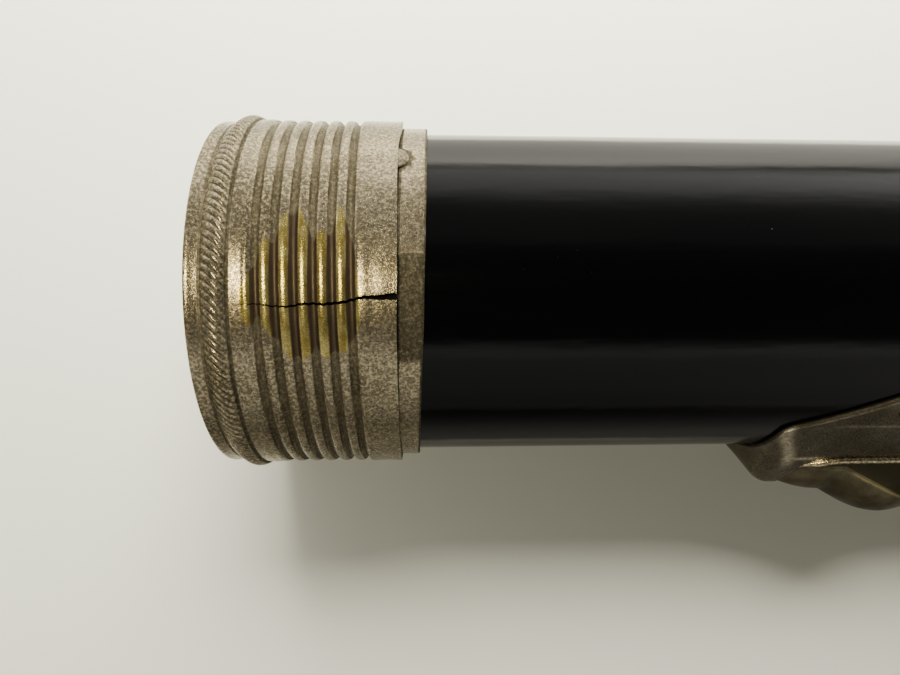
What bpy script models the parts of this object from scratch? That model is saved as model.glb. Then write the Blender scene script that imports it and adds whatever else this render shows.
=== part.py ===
"""Two-cell tubular hand torch: riveted fibre case, screw-on end cap and lens ring, slide switch.

The torch lies along +X with its tail face at x = 0, +Z is up and the switch is on the -Y side.
Every dimension below is in millimetres; the modelling functions scale them to metres.
"""
import math

import bmesh
import bpy
from mathutils import Matrix, Vector

MM = 0.001
MERGE_DISTANCE = 1e-7

# Resolution
SIDES = 36
SMALL_SIDES = 12
SHARP_ANGLE = math.radians(35.0)

# Whole torch
LENGTH = 170.0

# Case tube
TUBE_R = 19.0
TUBE_BORE_R = 17.6
TUBE_START = 7.0
TUBE_END = 160.0

# Drawn end caps, the tail cap and the lens ring
CAP_FACE_R = 19.5
CAP_R = 20.4
CAP_BORE_R = 20.1
CAP_BEAD_R = 20.95
CAP_SHOULDER = 1.8
CAP_BEAD_END = 4.4
CAP_LENGTH = 19.7
CAP_SHEET = 0.4
CAP_ARC_STEPS = 4
LENS_OPENING_R = 15.8

# Ferrules riveted to the tube
FERRULE_R = 19.67
FERRULE_BORE_R = 19.2
FERRULE_THREAD_R = 19.5
FERRULE_START = 6.0
FERRULE_SHOULDER = 17.2
FERRULE_END = 22.3
FERRULE_RIVET_X = 18.9
TAIL_RIVET_ANGLES = (40.0, 220.0)
HEAD_RIVET_ANGLES = (50.0, 230.0)

# Rivets
RIVET_HEAD_R = 1.9
RIVET_HEAD_RISE = 0.25
RIVET_EDGE = 0.05
RIVET_DOME = (0.7, 0.6)  # shares of the head's rise and radius, where the dome turns over
RIVET_SHANK_R = 0.75
RIVET_HOLE_R = 1.0
RIVET_TAIL_R = 1.3
RIVET_TAIL_OUT = 17.4
RIVET_TAIL_IN = 17.1

# Dry cells
CELL_START = 9.5
CELL_LENGTH = 61.5
CELL_SPACING = 61.8
CELL_CAN_R = 15.8
CELL_JACKET_BORE_R = 15.9
CELL_JACKET_R = 16.3
CELL_CAN_LENGTH = 55.0
CELL_SEAL_START = 55.2
CELL_SEAL_END = 57.4
CELL_SEAL_BORE_R = 4.4
CELL_POLE_R = 4.2
CELL_POLE_TOP_R = 3.36
CELL_POLE_FLANGE_R = 5.2
CELL_POLE_START = 57.6
CELL_JACKET_END = 58.6

# Tail spring and its seat
SPRING_WIRE_R = 0.5
SPRING_BASE_R = 12.5
SPRING_TIP_R = 5.5
SPRING_START = 1.75
SPRING_TIP = 8.7
SPRING_TURNS = 4
SPRING_POINTS_PER_TURN = 16
SEAT_R = 15.5
SEAT_START = 0.6
SEAT_END = 1.0

# Contact strips inside the tube, on the switch side
STRIP_HALF_WIDTH = 2.2
STRIP_OUT = 17.3
STRIP_IN = 17.05
TAIL_STRIP = (8.0, 87.0)
HEAD_STRIP = (92.0, 159.0)

# Switch housing, a saddle plate with a raised ridge
SWITCH_START = 62.0
SWITCH_END = 116.0
SADDLE_MEAN_R = 19.4
SADDLE_R = 19.6
SADDLE_BORE_R = 19.15
SADDLE_END_HALF = 12.2
SADDLE_FLARE = 0.534
SADDLE_FLARE_END = 10.0
SADDLE_WIDEST_AT = 16.0
SADDLE_CORNER = 1.2
RIDGE_HEIGHT = 24.8
RIDGE_SLOPE = 0.776
RIDGE_ROUND = 0.035
RIDGE_NOSE = 3.9
RIDGE_SETBACK = 0.6
SADDLE_COLUMNS = 10
SADDLE_STATIONS = (0.0, 0.3, 0.7, 1.2, 2.0, 3.0, 4.2, 5.6, 8.0, 11.0, 16.0)
SLOT_HALF_WIDTH = 5.3
SLOT_START = 67.2
SLOT_END = 99.8
SLOT_ARC_STEPS = 8
CUTTER_LOW = 16.0
CUTTER_HIGH = 30.0

# Thumb slide
SLIDE_START = 67.5
SLIDE_LENGTH = 26.0
SLIDE_HALF_WIDTH = 5.0
SLIDE_BASE = 19.75
SLIDE_SHELF = 25.0
SLIDE_TIP = 23.9
SLIDE_CREST = 28.0
SLIDE_WALL_LOW = 21.6
SLIDE_WALL_HIGH = 25.2
SLIDE_RAMP_START = 5.5
SLIDE_WALL_RAMP_START = 6.0
SLIDE_STATIONS = 27
SLIDE_COLUMNS = 8
SLIDE_TRIM = 0.05
GUIDE_R = 19.58
GUIDE_BORE_R = 19.3
GUIDE_HALF_ANGLE = math.radians(20.0)
GUIDE_SPAN = (64.5, 95.9)
GUIDE_COLUMNS = 8
SHOE_HALF_WIDTH = 1.2
SHOE_SPAN = (80.0, 88.0)
SHOE_LOW = 17.45
SHOE_HIGH = 19.2
TUBE_SLOT_HALF_WIDTH = 1.7
TUBE_SLOT = (78.8, 95.2)

# Flash button
BUTTON_X = 106.0
BUTTON_R = 3.0
BUTTON_HOLE_R = 3.3
BUTTON_FLANGE_R = 3.7
BUTTON_FLANGE = (20.2, 20.6)
BUTTON_TOP = 26.4
BUTTON_SHOULDER = 25.7
BUTTON_DOME = (26.12, 2.25)
BUTTON_STEM_R = 0.9
BUTTON_STEM_END = 18.45
BUTTON_TUBE_HOLE_R = 1.5

# Housing rivets, as (distance along the torch, angle from the switch centre line in degrees)
HOUSING_RIVETS = ((75.0, 47.0), (75.0, -47.0), (103.0, 47.0), (103.0, -47.0))
SWITCH_ANGLE = -90.0

# Lens, reflector and bulb
REFLECTOR_FOCUS = 4.62
REFLECTOR_VERTEX = 147.4
REFLECTOR_NECK_R = 6.2
REFLECTOR_RIM_R = 16.8
REFLECTOR_FLANGE_R = 19.2
REFLECTOR_SHEET = 0.4
REFLECTOR_STEPS = 7
REFLECTOR_FLANGE_X = 163.9
LENS_R = 18.2
LENS_BACK = 164.9
LENS_EDGE = 166.6
LENS_CROWN = 169.7
LENS_CROWN_R = 15.6
LENS_STEPS = 6
GASKET_R = 18.0
GASKET_BORE_R = 16.0
GASKET = (168.75, 169.3)
SOCKET_R = 5.7
SOCKET_BORE_R = 5.0
SOCKET_SPAN = (140.2, 148.6)
BULB_BASE_R = 4.7
BULB_BASE_TAPER_R = 3.76
BULB_BASE_TAPER = 1.0
BULB_BASE = (140.4, 147.0)
BULB_TIP_R = 1.6
BULB_TIP_END_R = 1.12
BULB_TIP = (139.8, 140.25)
BULB_NECK_R = 3.6
BULB_GLOBE_R = 5.4
BULB_GLOBE_X = 152.6
BULB_GLASS_START = 147.2
BULB_GLASS_WALL = 0.4
BULB_STEPS = 8
FILAMENT_WIRE_R = 0.18
FILAMENT_HALF = 1.1
FILAMENT_START = 147.4
FILAMENT_X = 152.0
DISC_R = 16.8
DISC_BORE_R = 2.2
DISC_SPAN = (135.0, 136.4)
CONTACT_R = 1.8
CONTACT_HEAD_R = 3.4
CONTACT_SPAN = (133.2, 139.6)
CONTACT_HEAD_THICKNESS = 0.6


def clear_scene():
    """Remove every object, so the torch stands alone."""
    for item in list(bpy.data.objects):
        bpy.data.objects.remove(item, do_unlink=True)


def surface(name, colour, roughness, metallic):
    """Return a Principled material."""
    material = bpy.data.materials.new(name)
    material.use_nodes = True
    shader = material.node_tree.nodes["Principled BSDF"]
    shader.inputs["Base Color"].default_value = (*colour, 1.0)
    shader.inputs["Roughness"].default_value = roughness
    shader.inputs["Metallic"].default_value = metallic
    return material


def link(name, data, material, parent, location=(0.0, 0.0, 0.0), turn=0.0):
    """Add an object at a place in millimetres, turned about the torch's axis, under its parent."""
    item = bpy.data.objects.new(name, data)
    item.data.materials.append(material)
    bpy.context.collection.objects.link(item)
    item.parent = parent
    item.location = Vector(location) * MM - parent.location
    item.rotation_euler = (turn, 0.0, 0.0)
    return item


def pivot(name, location):
    """Add an empty that carries the pieces of one moving body."""
    empty = bpy.data.objects.new(name, None)
    empty.location = Vector(location) * MM
    bpy.context.collection.objects.link(empty)
    return empty


def finish_mesh(name, work):
    """Close a bmesh into a mesh with outward normals and smooth round faces."""
    bmesh.ops.remove_doubles(work, verts=work.verts, dist=MERGE_DISTANCE)
    bmesh.ops.recalc_face_normals(work, faces=work.faces)
    mesh = bpy.data.meshes.new(name)
    work.to_mesh(mesh)
    work.free()
    mesh.shade_smooth()
    mesh.set_sharp_from_angle(angle=SHARP_ANGLE)
    return mesh


def spun_mesh(name, profile, sides):
    """Spin an outline of (along, radius) points about X, with a flat facing -Z."""
    work = bmesh.new()
    half_step = math.pi / sides
    points = [
        work.verts.new((x * MM, r * MM * math.sin(half_step), r * MM * math.cos(half_step)))
        for x, r in profile
    ]
    edges = [work.edges.new(pair) for pair in zip(points, points[1:])]
    if profile[0][1] > 0.0:
        edges.append(work.edges.new((points[-1], points[0])))
    bmesh.ops.spin(
        work, geom=points + edges, cent=(0, 0, 0), axis=(1, 0, 0),
        dvec=(0, 0, 0), angle=math.tau, steps=sides, use_merge=True,
    )
    bmesh.ops.dissolve_degenerate(work, edges=work.edges, dist=MERGE_DISTANCE)
    return finish_mesh(name, work)


def turned(name, profile, material, parent, sides=SIDES):
    """Add a piece turned about the torch's axis, from an outline measured from the tail face."""
    start = profile[0][0]
    local = [(x - start, r) for x, r in profile]
    return link(name, spun_mesh(name, local, sides), material, parent, (start, 0.0, 0.0))


def radial_place(along, angle_deg, radius):
    """Return a place at an angle from +Z towards +Y, and the turn that points a piece outward."""
    angle = math.radians(angle_deg)
    return (along, radius * math.sin(angle), radius * math.cos(angle)), -angle


def radial_turned(name, profile, material, parent, along, angle_deg, sides=SMALL_SIDES):
    """Add a piece turned about a radial line; its outline is (height from the axis, radius)."""
    start = profile[0][0]
    local = [(x - start, r) for x, r in profile]
    mesh = spun_mesh(name, local, sides)
    mesh.transform(Matrix.Rotation(-math.pi / 2.0, 4, "Y"))
    place, turn = radial_place(along, angle_deg, start)
    return link(name, mesh, material, parent, place, turn)


def loft(name, sections, material, parent):
    """Join closed sections of equal length into one capped body."""
    work = bmesh.new()
    rings = [[work.verts.new(Vector(point) * MM) for point in section] for section in sections]
    count = len(rings[0])
    for ring, following in zip(rings, rings[1:]):
        for index in range(count):
            after = (index + 1) % count
            work.faces.new((ring[index], ring[after], following[after], following[index]))
    work.faces.new(rings[0])
    work.faces.new(rings[-1])
    return link(name, finish_mesh(name, work), material, parent)


def block(name, low, high, material, parent):
    """Add a rectangular piece between two corners."""
    low = Vector(low)
    high = Vector(high)
    size = (high - low) * MM
    work = bmesh.new()
    bmesh.ops.create_cube(work, size=1.0, matrix=Matrix.Diagonal((*size, 1.0)))
    return link(name, finish_mesh(name, work), material, parent, (low + high) / 2.0)


def cut(target, cutter):
    """Subtract a hidden cutter from a piece."""
    cutter.hide_render = True
    cutter.display_type = "WIRE"
    modifier = target.modifiers.new(cutter.name, "BOOLEAN")
    modifier.operation = "DIFFERENCE"
    modifier.solver = "EXACT"
    modifier.object = cutter


def radial_cutter(name, radius, material, parent, along, angle_deg, low=CUTTER_LOW):
    """Add a round cutter that points outward from the torch's axis."""
    profile = [(low, 0.0), (low, radius), (CUTTER_HIGH, radius), (CUTTER_HIGH, 0.0)]
    return radial_turned(name, profile, material, parent, along, angle_deg)


def stadium_cutter(name, span, half_width, material, parent):
    """Add a cutter with round ends that opens a slot on the switch side."""
    first = span[0] + half_width
    last = span[1] - half_width
    outline = []
    for centre, start in ((last, -math.pi / 2.0), (first, math.pi / 2.0)):
        for step in range(SLOT_ARC_STEPS + 1):
            angle = start + math.pi * step / SLOT_ARC_STEPS
            outline.append((centre + half_width * math.cos(angle), half_width * math.sin(angle)))
    sections = [[(x, -depth, z) for x, z in outline] for depth in (CUTTER_LOW, CUTTER_HIGH)]
    return loft(name, sections, material, parent)


def mirrored(profile):
    """Turn a tail-end outline into the matching head-end outline."""
    return [(LENGTH - x, r) for x, r in profile]


def cap_profile(opening_r):
    """Outline of a drawn cap: face, rounded shoulder, rim bead, wall and open skirt."""
    outline = [(0.0, opening_r)]
    for step in range(CAP_ARC_STEPS + 1):
        angle = math.pi / 2.0 * step / CAP_ARC_STEPS
        x = CAP_SHOULDER * (1.0 - math.cos(angle))
        outline.append((x, CAP_FACE_R + (CAP_R - CAP_FACE_R) * math.sin(angle)))
    for step in range(1, CAP_ARC_STEPS + 1):
        angle = math.pi * step / CAP_ARC_STEPS
        x = CAP_SHOULDER + (CAP_BEAD_END - CAP_SHOULDER) * (1.0 - math.cos(angle)) / 2.0
        outline.append((x, CAP_R + (CAP_BEAD_R - CAP_R) * math.sin(angle)))
    outline += [
        (CAP_LENGTH, CAP_R), (CAP_LENGTH, CAP_BORE_R),
        (CAP_SHOULDER, CAP_BORE_R), (CAP_SHEET, CAP_FACE_R), (CAP_SHEET, opening_r),
    ]
    return outline


def ferrule_profile():
    """Outline of a ferrule: a thinner threaded part under the cap and a plain part outside it."""
    return [
        (FERRULE_START, FERRULE_BORE_R), (FERRULE_START, FERRULE_THREAD_R),
        (FERRULE_SHOULDER, FERRULE_THREAD_R), (FERRULE_SHOULDER, FERRULE_R),
        (FERRULE_END, FERRULE_R), (FERRULE_END, FERRULE_BORE_R),
    ]


def rivet_profile(seat):
    """Outline of a rivet: formed tail inside the tube, shank, and a low domed head on its seat."""
    return [
        (RIVET_TAIL_IN, 0.0), (RIVET_TAIL_IN, RIVET_TAIL_R), (RIVET_TAIL_OUT, RIVET_TAIL_R),
        (RIVET_TAIL_OUT, RIVET_SHANK_R), (seat, RIVET_SHANK_R), (seat, RIVET_HEAD_R),
        (seat + RIVET_EDGE, RIVET_HEAD_R),
        (seat + RIVET_DOME[0] * RIVET_HEAD_RISE, RIVET_DOME[1] * RIVET_HEAD_R),
        (seat + RIVET_HEAD_RISE, 0.0),
    ]


def rivet_ring(prefix, along, angles, ferrule, tube, material, parent):
    """Rivet a ferrule to the tube at opposite sides."""
    for number, angle in enumerate(angles, 1):
        name = f"{prefix}_{number}"
        hole = radial_cutter(f"{name}_hole", RIVET_HOLE_R, material, parent, along, angle)
        cut(ferrule, hole)
        cut(tube, hole)
        radial_turned(name, rivet_profile(FERRULE_R), material, parent, along, angle)


def saddle_half_width(inset):
    """Half width of the saddle plate, along its arc, at a distance from its nearer end."""
    flare = min(inset, SADDLE_FLARE_END)
    width = SADDLE_END_HALF + SADDLE_FLARE * flare
    if inset > SADDLE_FLARE_END:
        span = SADDLE_WIDEST_AT - SADDLE_FLARE_END
        past = min(inset, SADDLE_WIDEST_AT) - SADDLE_FLARE_END
        width += SADDLE_FLARE * past * (1.0 - past / (2.0 * span))
    if inset < SADDLE_CORNER:
        width -= SADDLE_CORNER * (1.0 - math.sqrt(1.0 - (1.0 - inset / SADDLE_CORNER) ** 2))
    return width


def ridge_rise(inset, angle):
    """Height of the ridge over the plate at an angle from the switch's centre line."""
    past = inset - RIDGE_SETBACK
    if past <= 0.0:
        return 0.0
    nose = 1.0 if past >= RIDGE_NOSE else math.sqrt(1.0 - (1.0 - past / RIDGE_NOSE) ** 2)
    angle = min(abs(angle), math.atan(RIDGE_SLOPE))
    lean = math.sqrt(math.sin(angle) ** 2 + RIDGE_ROUND ** 2)
    radius = RIDGE_HEIGHT / (math.cos(angle) + RIDGE_SLOPE * lean)
    return max(0.0, radius - SADDLE_R) * nose


def switch_point(along, angle, radius):
    """Place on the switch side, at an angle from the centre line towards +Z."""
    return (along, -radius * math.cos(angle), radius * math.sin(angle))


def saddle_section(along):
    """Closed section across the saddle plate: its outer face one way and its inner face back."""
    inset = min(along - SWITCH_START, SWITCH_END - along)
    reach = saddle_half_width(inset) / SADDLE_MEAN_R
    angles = [reach * step / SADDLE_COLUMNS for step in range(-SADDLE_COLUMNS, SADDLE_COLUMNS + 1)]
    outer = [switch_point(along, a, SADDLE_R + ridge_rise(inset, a)) for a in angles]
    inner = [switch_point(along, a, SADDLE_BORE_R + ridge_rise(inset, a)) for a in angles]
    return outer + inner[::-1]


def build_housing(material, parent):
    """Saddle plate with its ridge, the slide's slot and the button's hole."""
    middle = (SWITCH_START + SWITCH_END) / 2.0
    near = [SWITCH_START + inset for inset in SADDLE_STATIONS]
    stations = near + [middle] + [SWITCH_START + SWITCH_END - along for along in reversed(near)]
    housing = loft("switch_housing", [saddle_section(x) for x in stations], material, parent)
    cut(housing, stadium_cutter(
        "slide_slot", (SLOT_START, SLOT_END), SLOT_HALF_WIDTH, material, parent))
    cut(housing, radial_cutter(
        "button_hole", BUTTON_HOLE_R, material, parent, BUTTON_X, SWITCH_ANGLE))
    return housing


def slide_section(station):
    """Closed section of the thumb slide: flat base, side walls and crowned top."""
    share = station / (SLIDE_STATIONS - 1)
    along = SLIDE_TRIM + (SLIDE_LENGTH - 2.0 * SLIDE_TRIM) * (1.0 - math.cos(math.pi * share)) / 2.0
    inset = min(along, SLIDE_LENGTH - along)
    end = max(0.0, 1.0 - inset / SLIDE_HALF_WIDTH)
    half_width = SLIDE_HALF_WIDTH * math.sqrt(1.0 - end ** 2)
    middle = SLIDE_LENGTH / 2.0
    rise = max(0.0, (inset - SLIDE_RAMP_START) / (middle - SLIDE_RAMP_START))
    crest = SLIDE_SHELF - (SLIDE_SHELF - SLIDE_TIP) * end ** 2
    crest += (SLIDE_CREST - SLIDE_SHELF) * math.sin(math.pi / 2.0 * rise)
    climb = max(0.0, (inset - SLIDE_WALL_RAMP_START) / (middle - SLIDE_WALL_RAMP_START))
    wall = SLIDE_WALL_LOW + (SLIDE_WALL_HIGH - SLIDE_WALL_LOW) * climb
    section = [(-half_width, SLIDE_BASE)]
    for column in range(-SLIDE_COLUMNS, SLIDE_COLUMNS + 1):
        across = column / SLIDE_COLUMNS
        section.append((half_width * across, wall + (crest - wall) * (1.0 - across ** 2)))
    section.append((half_width, SLIDE_BASE))
    return [(SLIDE_START + along, -height, side) for side, height in section]


def build_slide(metal, brass, parent):
    """Thumb slide, the curved guide plate under it and its contact shoe."""
    sections = [slide_section(station) for station in range(SLIDE_STATIONS)]
    loft("switch_slide", sections, metal, parent)
    angles = [
        GUIDE_HALF_ANGLE * column / GUIDE_COLUMNS
        for column in range(-GUIDE_COLUMNS, GUIDE_COLUMNS + 1)
    ]
    plates = []
    for along in GUIDE_SPAN:
        outer = [switch_point(along, a, GUIDE_R) for a in angles]
        inner = [switch_point(along, a, GUIDE_BORE_R) for a in reversed(angles)]
        plates.append(outer + inner)
    loft("slide_guide_plate", plates, brass, parent)
    block(
        "slide_contact_shoe", (SHOE_SPAN[0], -SHOE_HIGH, -SHOE_HALF_WIDTH),
        (SHOE_SPAN[1], -SHOE_LOW, SHOE_HALF_WIDTH), brass, parent,
    )


def build_button(material, parent):
    """Flash button: domed top, a flange that keeps it in the ridge, and a contact stem."""
    profile = [
        (BUTTON_STEM_END, 0.0), (BUTTON_STEM_END, BUTTON_STEM_R),
        (BUTTON_FLANGE[0], BUTTON_STEM_R), (BUTTON_FLANGE[0], BUTTON_FLANGE_R),
        (BUTTON_FLANGE[1], BUTTON_FLANGE_R), (BUTTON_FLANGE[1], BUTTON_R),
        (BUTTON_SHOULDER, BUTTON_R), BUTTON_DOME, (BUTTON_TOP, 0.0),
    ]
    radial_turned(
        "flash_button", profile, material, parent, BUTTON_X, SWITCH_ANGLE, 2 * SMALL_SIDES)


def build_cell(number, looks, parent):
    """One dry cell: zinc can, paper jacket, pitch seal and brass pole."""
    start = CELL_START + (number - 1) * CELL_SPACING
    prefix = f"cell_{number}"
    turned(f"{prefix}_can", [
        (start, 0.0), (start, CELL_CAN_R),
        (start + CELL_CAN_LENGTH, CELL_CAN_R), (start + CELL_CAN_LENGTH, 0.0),
    ], looks["zinc"], parent)
    turned(f"{prefix}_jacket", [
        (start, CELL_JACKET_BORE_R), (start, CELL_JACKET_R),
        (start + CELL_JACKET_END, CELL_JACKET_R), (start + CELL_JACKET_END, CELL_JACKET_BORE_R),
    ], looks["paper"], parent)
    turned(f"{prefix}_seal", [
        (start + CELL_SEAL_START, CELL_SEAL_BORE_R), (start + CELL_SEAL_START, CELL_CAN_R),
        (start + CELL_SEAL_END, CELL_CAN_R), (start + CELL_SEAL_END, CELL_SEAL_BORE_R),
    ], looks["pitch"], parent)
    turned(f"{prefix}_pole", [
        (start + CELL_SEAL_START, 0.0), (start + CELL_SEAL_START, CELL_POLE_R),
        (start + CELL_POLE_START, CELL_POLE_R), (start + CELL_POLE_START, CELL_POLE_FLANGE_R),
        (start + CELL_JACKET_END, CELL_POLE_FLANGE_R), (start + CELL_JACKET_END, CELL_POLE_R),
        (start + CELL_LENGTH, CELL_POLE_TOP_R), (start + CELL_LENGTH, 0.0),
    ], looks["brass"], parent, 2 * SMALL_SIDES)


def build_spring(material, parent):
    """Conical coil spring that presses on the rear cell."""
    curve = bpy.data.curves.new("tail_spring", "CURVE")
    curve.dimensions = "3D"
    curve.bevel_depth = SPRING_WIRE_R * MM
    curve.bevel_resolution = 1
    curve.use_fill_caps = True
    count = SPRING_TURNS * SPRING_POINTS_PER_TURN + 1
    spline = curve.splines.new("POLY")
    spline.points.add(count - 1)
    for index, point in enumerate(spline.points):
        share = index / (count - 1)
        angle = math.tau * SPRING_TURNS * share
        radius = SPRING_BASE_R + (SPRING_TIP_R - SPRING_BASE_R) * share
        x = (SPRING_TIP - SPRING_START) * share
        place = Vector((x, radius * math.sin(angle), radius * math.cos(angle))) * MM
        point.co = (*place, 1.0)
    return link("tail_spring", curve, material, parent, (SPRING_START, 0.0, 0.0))


def build_filament(material, parent):
    """Filament and its two lead wires as one bent wire."""
    curve = bpy.data.curves.new("bulb_filament", "CURVE")
    curve.dimensions = "3D"
    curve.bevel_depth = FILAMENT_WIRE_R * MM
    curve.bevel_resolution = 1
    curve.use_fill_caps = True
    bend = FILAMENT_HALF / 2.0
    route = [
        (0.0, -FILAMENT_HALF), (FILAMENT_X - FILAMENT_START - bend, -FILAMENT_HALF),
        (FILAMENT_X - FILAMENT_START, -bend), (FILAMENT_X - FILAMENT_START, bend),
        (FILAMENT_X - FILAMENT_START - bend, FILAMENT_HALF), (0.0, FILAMENT_HALF),
    ]
    spline = curve.splines.new("POLY")
    spline.points.add(len(route) - 1)
    for point, (x, y) in zip(spline.points, route):
        point.co = (x * MM, y * MM, 0.0, 1.0)
    return link("bulb_filament", curve, material, parent, (FILAMENT_START, 0.0, 0.0))


def reflector_profile():
    """Outline of the parabolic reflector shell with its rim flange."""
    bowl = []
    for step in range(REFLECTOR_STEPS + 1):
        radius = REFLECTOR_NECK_R + (REFLECTOR_RIM_R - REFLECTOR_NECK_R) * step / REFLECTOR_STEPS
        bowl.append((REFLECTOR_VERTEX + radius ** 2 / (4.0 * REFLECTOR_FOCUS), radius))
    flange_back = REFLECTOR_FLANGE_X - REFLECTOR_SHEET
    back = [(x - REFLECTOR_SHEET, r + REFLECTOR_SHEET) for x, r in bowl[:-1]]
    back.append((flange_back, REFLECTOR_RIM_R + REFLECTOR_SHEET))
    front = bowl[:-1] + [(REFLECTOR_FLANGE_X, REFLECTOR_RIM_R)]
    edge = [(REFLECTOR_FLANGE_X, REFLECTOR_FLANGE_R), (flange_back, REFLECTOR_FLANGE_R)]
    return front + edge + back[::-1]


def lens_profile():
    """Outline of the plano-convex lens."""
    outline = [(LENS_BACK, 0.0), (LENS_BACK, LENS_R), (LENS_EDGE, LENS_R)]
    sagitta = LENS_CROWN - LENS_EDGE
    sphere = (LENS_CROWN_R ** 2 + sagitta ** 2) / (2.0 * sagitta)
    for step in range(LENS_STEPS + 1):
        radius = LENS_CROWN_R * (1.0 - step / LENS_STEPS)
        outline.append((LENS_CROWN - sphere + math.sqrt(sphere ** 2 - radius ** 2), radius))
    return outline


def bulb_profile():
    """Outline of the bulb's glass, open at its neck."""
    outer = [(BULB_GLASS_START, BULB_NECK_R)]
    neck_angle = math.pi - math.asin(BULB_NECK_R / BULB_GLOBE_R)
    angles = [neck_angle * (1.0 - step / BULB_STEPS) for step in range(BULB_STEPS + 1)]
    inner_r = BULB_GLOBE_R - BULB_GLASS_WALL
    outer += [
        (BULB_GLOBE_X + BULB_GLOBE_R * math.cos(a), BULB_GLOBE_R * math.sin(a)) for a in angles]
    inner = [
        (BULB_GLOBE_X + inner_r * math.cos(a), inner_r * math.sin(a)) for a in reversed(angles)]
    inner.append((BULB_GLASS_START, BULB_NECK_R - BULB_GLASS_WALL))
    outer[-1] = (outer[-1][0], 0.0)
    inner[0] = (inner[0][0], 0.0)
    return outer, inner


def build_bulb(looks, parent):
    """Screw-base bulb in its socket sleeve."""
    turned("bulb_socket", [
        (SOCKET_SPAN[0], SOCKET_BORE_R), (SOCKET_SPAN[0], SOCKET_R),
        (SOCKET_SPAN[1], SOCKET_R), (SOCKET_SPAN[1], SOCKET_BORE_R),
    ], looks["brass"], parent, 2 * SMALL_SIDES)
    turned("bulb_base", [
        (BULB_BASE[0], 0.0), (BULB_BASE[0], BULB_BASE_TAPER_R),
        (BULB_BASE[0] + BULB_BASE_TAPER, BULB_BASE_R), (BULB_BASE[1], BULB_BASE_R), (BULB_BASE[1], 0.0),
    ], looks["brass"], parent, 2 * SMALL_SIDES)
    turned("bulb_tip", [
        (BULB_TIP[0], 0.0), (BULB_TIP[0], BULB_TIP_END_R),
        (BULB_TIP[1], BULB_TIP_R), (BULB_TIP[1], 0.0),
    ], looks["solder"], parent, SMALL_SIDES)
    outer, inner = bulb_profile()
    profile = inner + outer
    turned("bulb_glass", profile, looks["glass"], parent, 2 * SMALL_SIDES)
    build_filament(looks["solder"], parent)


def build_head(looks, case, lens_carrier, ring_axis):
    """Lens ring, lens, gasket, reflector, bulb and the insulated centre contact."""
    turned("lens_ring", mirrored(cap_profile(LENS_OPENING_R)), looks["nickel"], ring_axis)
    turned("lens", lens_profile(), looks["glass"], lens_carrier)
    turned("lens_gasket", [
        (GASKET[0], GASKET_BORE_R), (GASKET[0], GASKET_R),
        (GASKET[1], GASKET_R), (GASKET[1], GASKET_BORE_R),
    ], looks["cork"], lens_carrier)
    turned("reflector", reflector_profile(), looks["silver"], case)
    build_bulb(looks, case)
    turned("contact_disc", [
        (DISC_SPAN[0], DISC_BORE_R), (DISC_SPAN[0], DISC_R),
        (DISC_SPAN[1], DISC_R), (DISC_SPAN[1], DISC_BORE_R),
    ], looks["fibre"], case)
    turned("centre_contact", [
        (CONTACT_SPAN[0], 0.0), (CONTACT_SPAN[0], CONTACT_HEAD_R),
        (CONTACT_SPAN[0] + CONTACT_HEAD_THICKNESS, CONTACT_HEAD_R),
        (CONTACT_SPAN[0] + CONTACT_HEAD_THICKNESS, CONTACT_R),
        (CONTACT_SPAN[1], CONTACT_R), (CONTACT_SPAN[1], 0.0),
    ], looks["brass"], case, 2 * SMALL_SIDES)


def build_case(looks, case):
    """Fibre tube with its ferrules, rivets, contact strips and switch housing."""
    tube = turned("tube", [
        (TUBE_START, TUBE_BORE_R), (TUBE_START, TUBE_R),
        (TUBE_END, TUBE_R), (TUBE_END, TUBE_BORE_R),
    ], looks["fibre"], case)
    tail = turned("tail_ferrule", ferrule_profile(), looks["nickel"], case)
    head = turned("head_ferrule", mirrored(ferrule_profile()), looks["nickel"], case)
    rivet_ring(
        "tail_ferrule_rivet", FERRULE_RIVET_X, TAIL_RIVET_ANGLES, tail, tube,
        looks["brass"], case)
    rivet_ring(
        "head_ferrule_rivet", LENGTH - FERRULE_RIVET_X, HEAD_RIVET_ANGLES, head, tube,
        looks["brass"], case)
    for name, span in (("tail_contact_strip", TAIL_STRIP), ("head_contact_strip", HEAD_STRIP)):
        block(name, (span[0], -STRIP_OUT, -STRIP_HALF_WIDTH),
              (span[1], -STRIP_IN, STRIP_HALF_WIDTH), looks["brass"], case)
    housing = build_housing(looks["nickel"], case)
    cut(tube, stadium_cutter(
        "shoe_slot", TUBE_SLOT, TUBE_SLOT_HALF_WIDTH, looks["fibre"], case))
    cut(tube, radial_cutter(
        "stem_hole", BUTTON_TUBE_HOLE_R, looks["fibre"], case, BUTTON_X, SWITCH_ANGLE))
    for number, (along, offset) in enumerate(HOUSING_RIVETS, 1):
        name = f"housing_rivet_{number}"
        angle = SWITCH_ANGLE + offset
        hole = radial_cutter(f"{name}_hole", RIVET_HOLE_R, looks["brass"], case, along, angle)
        cut(housing, hole)
        cut(tube, hole)
        radial_turned(name, rivet_profile(SADDLE_R), looks["brass"], case, along, angle)


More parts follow.
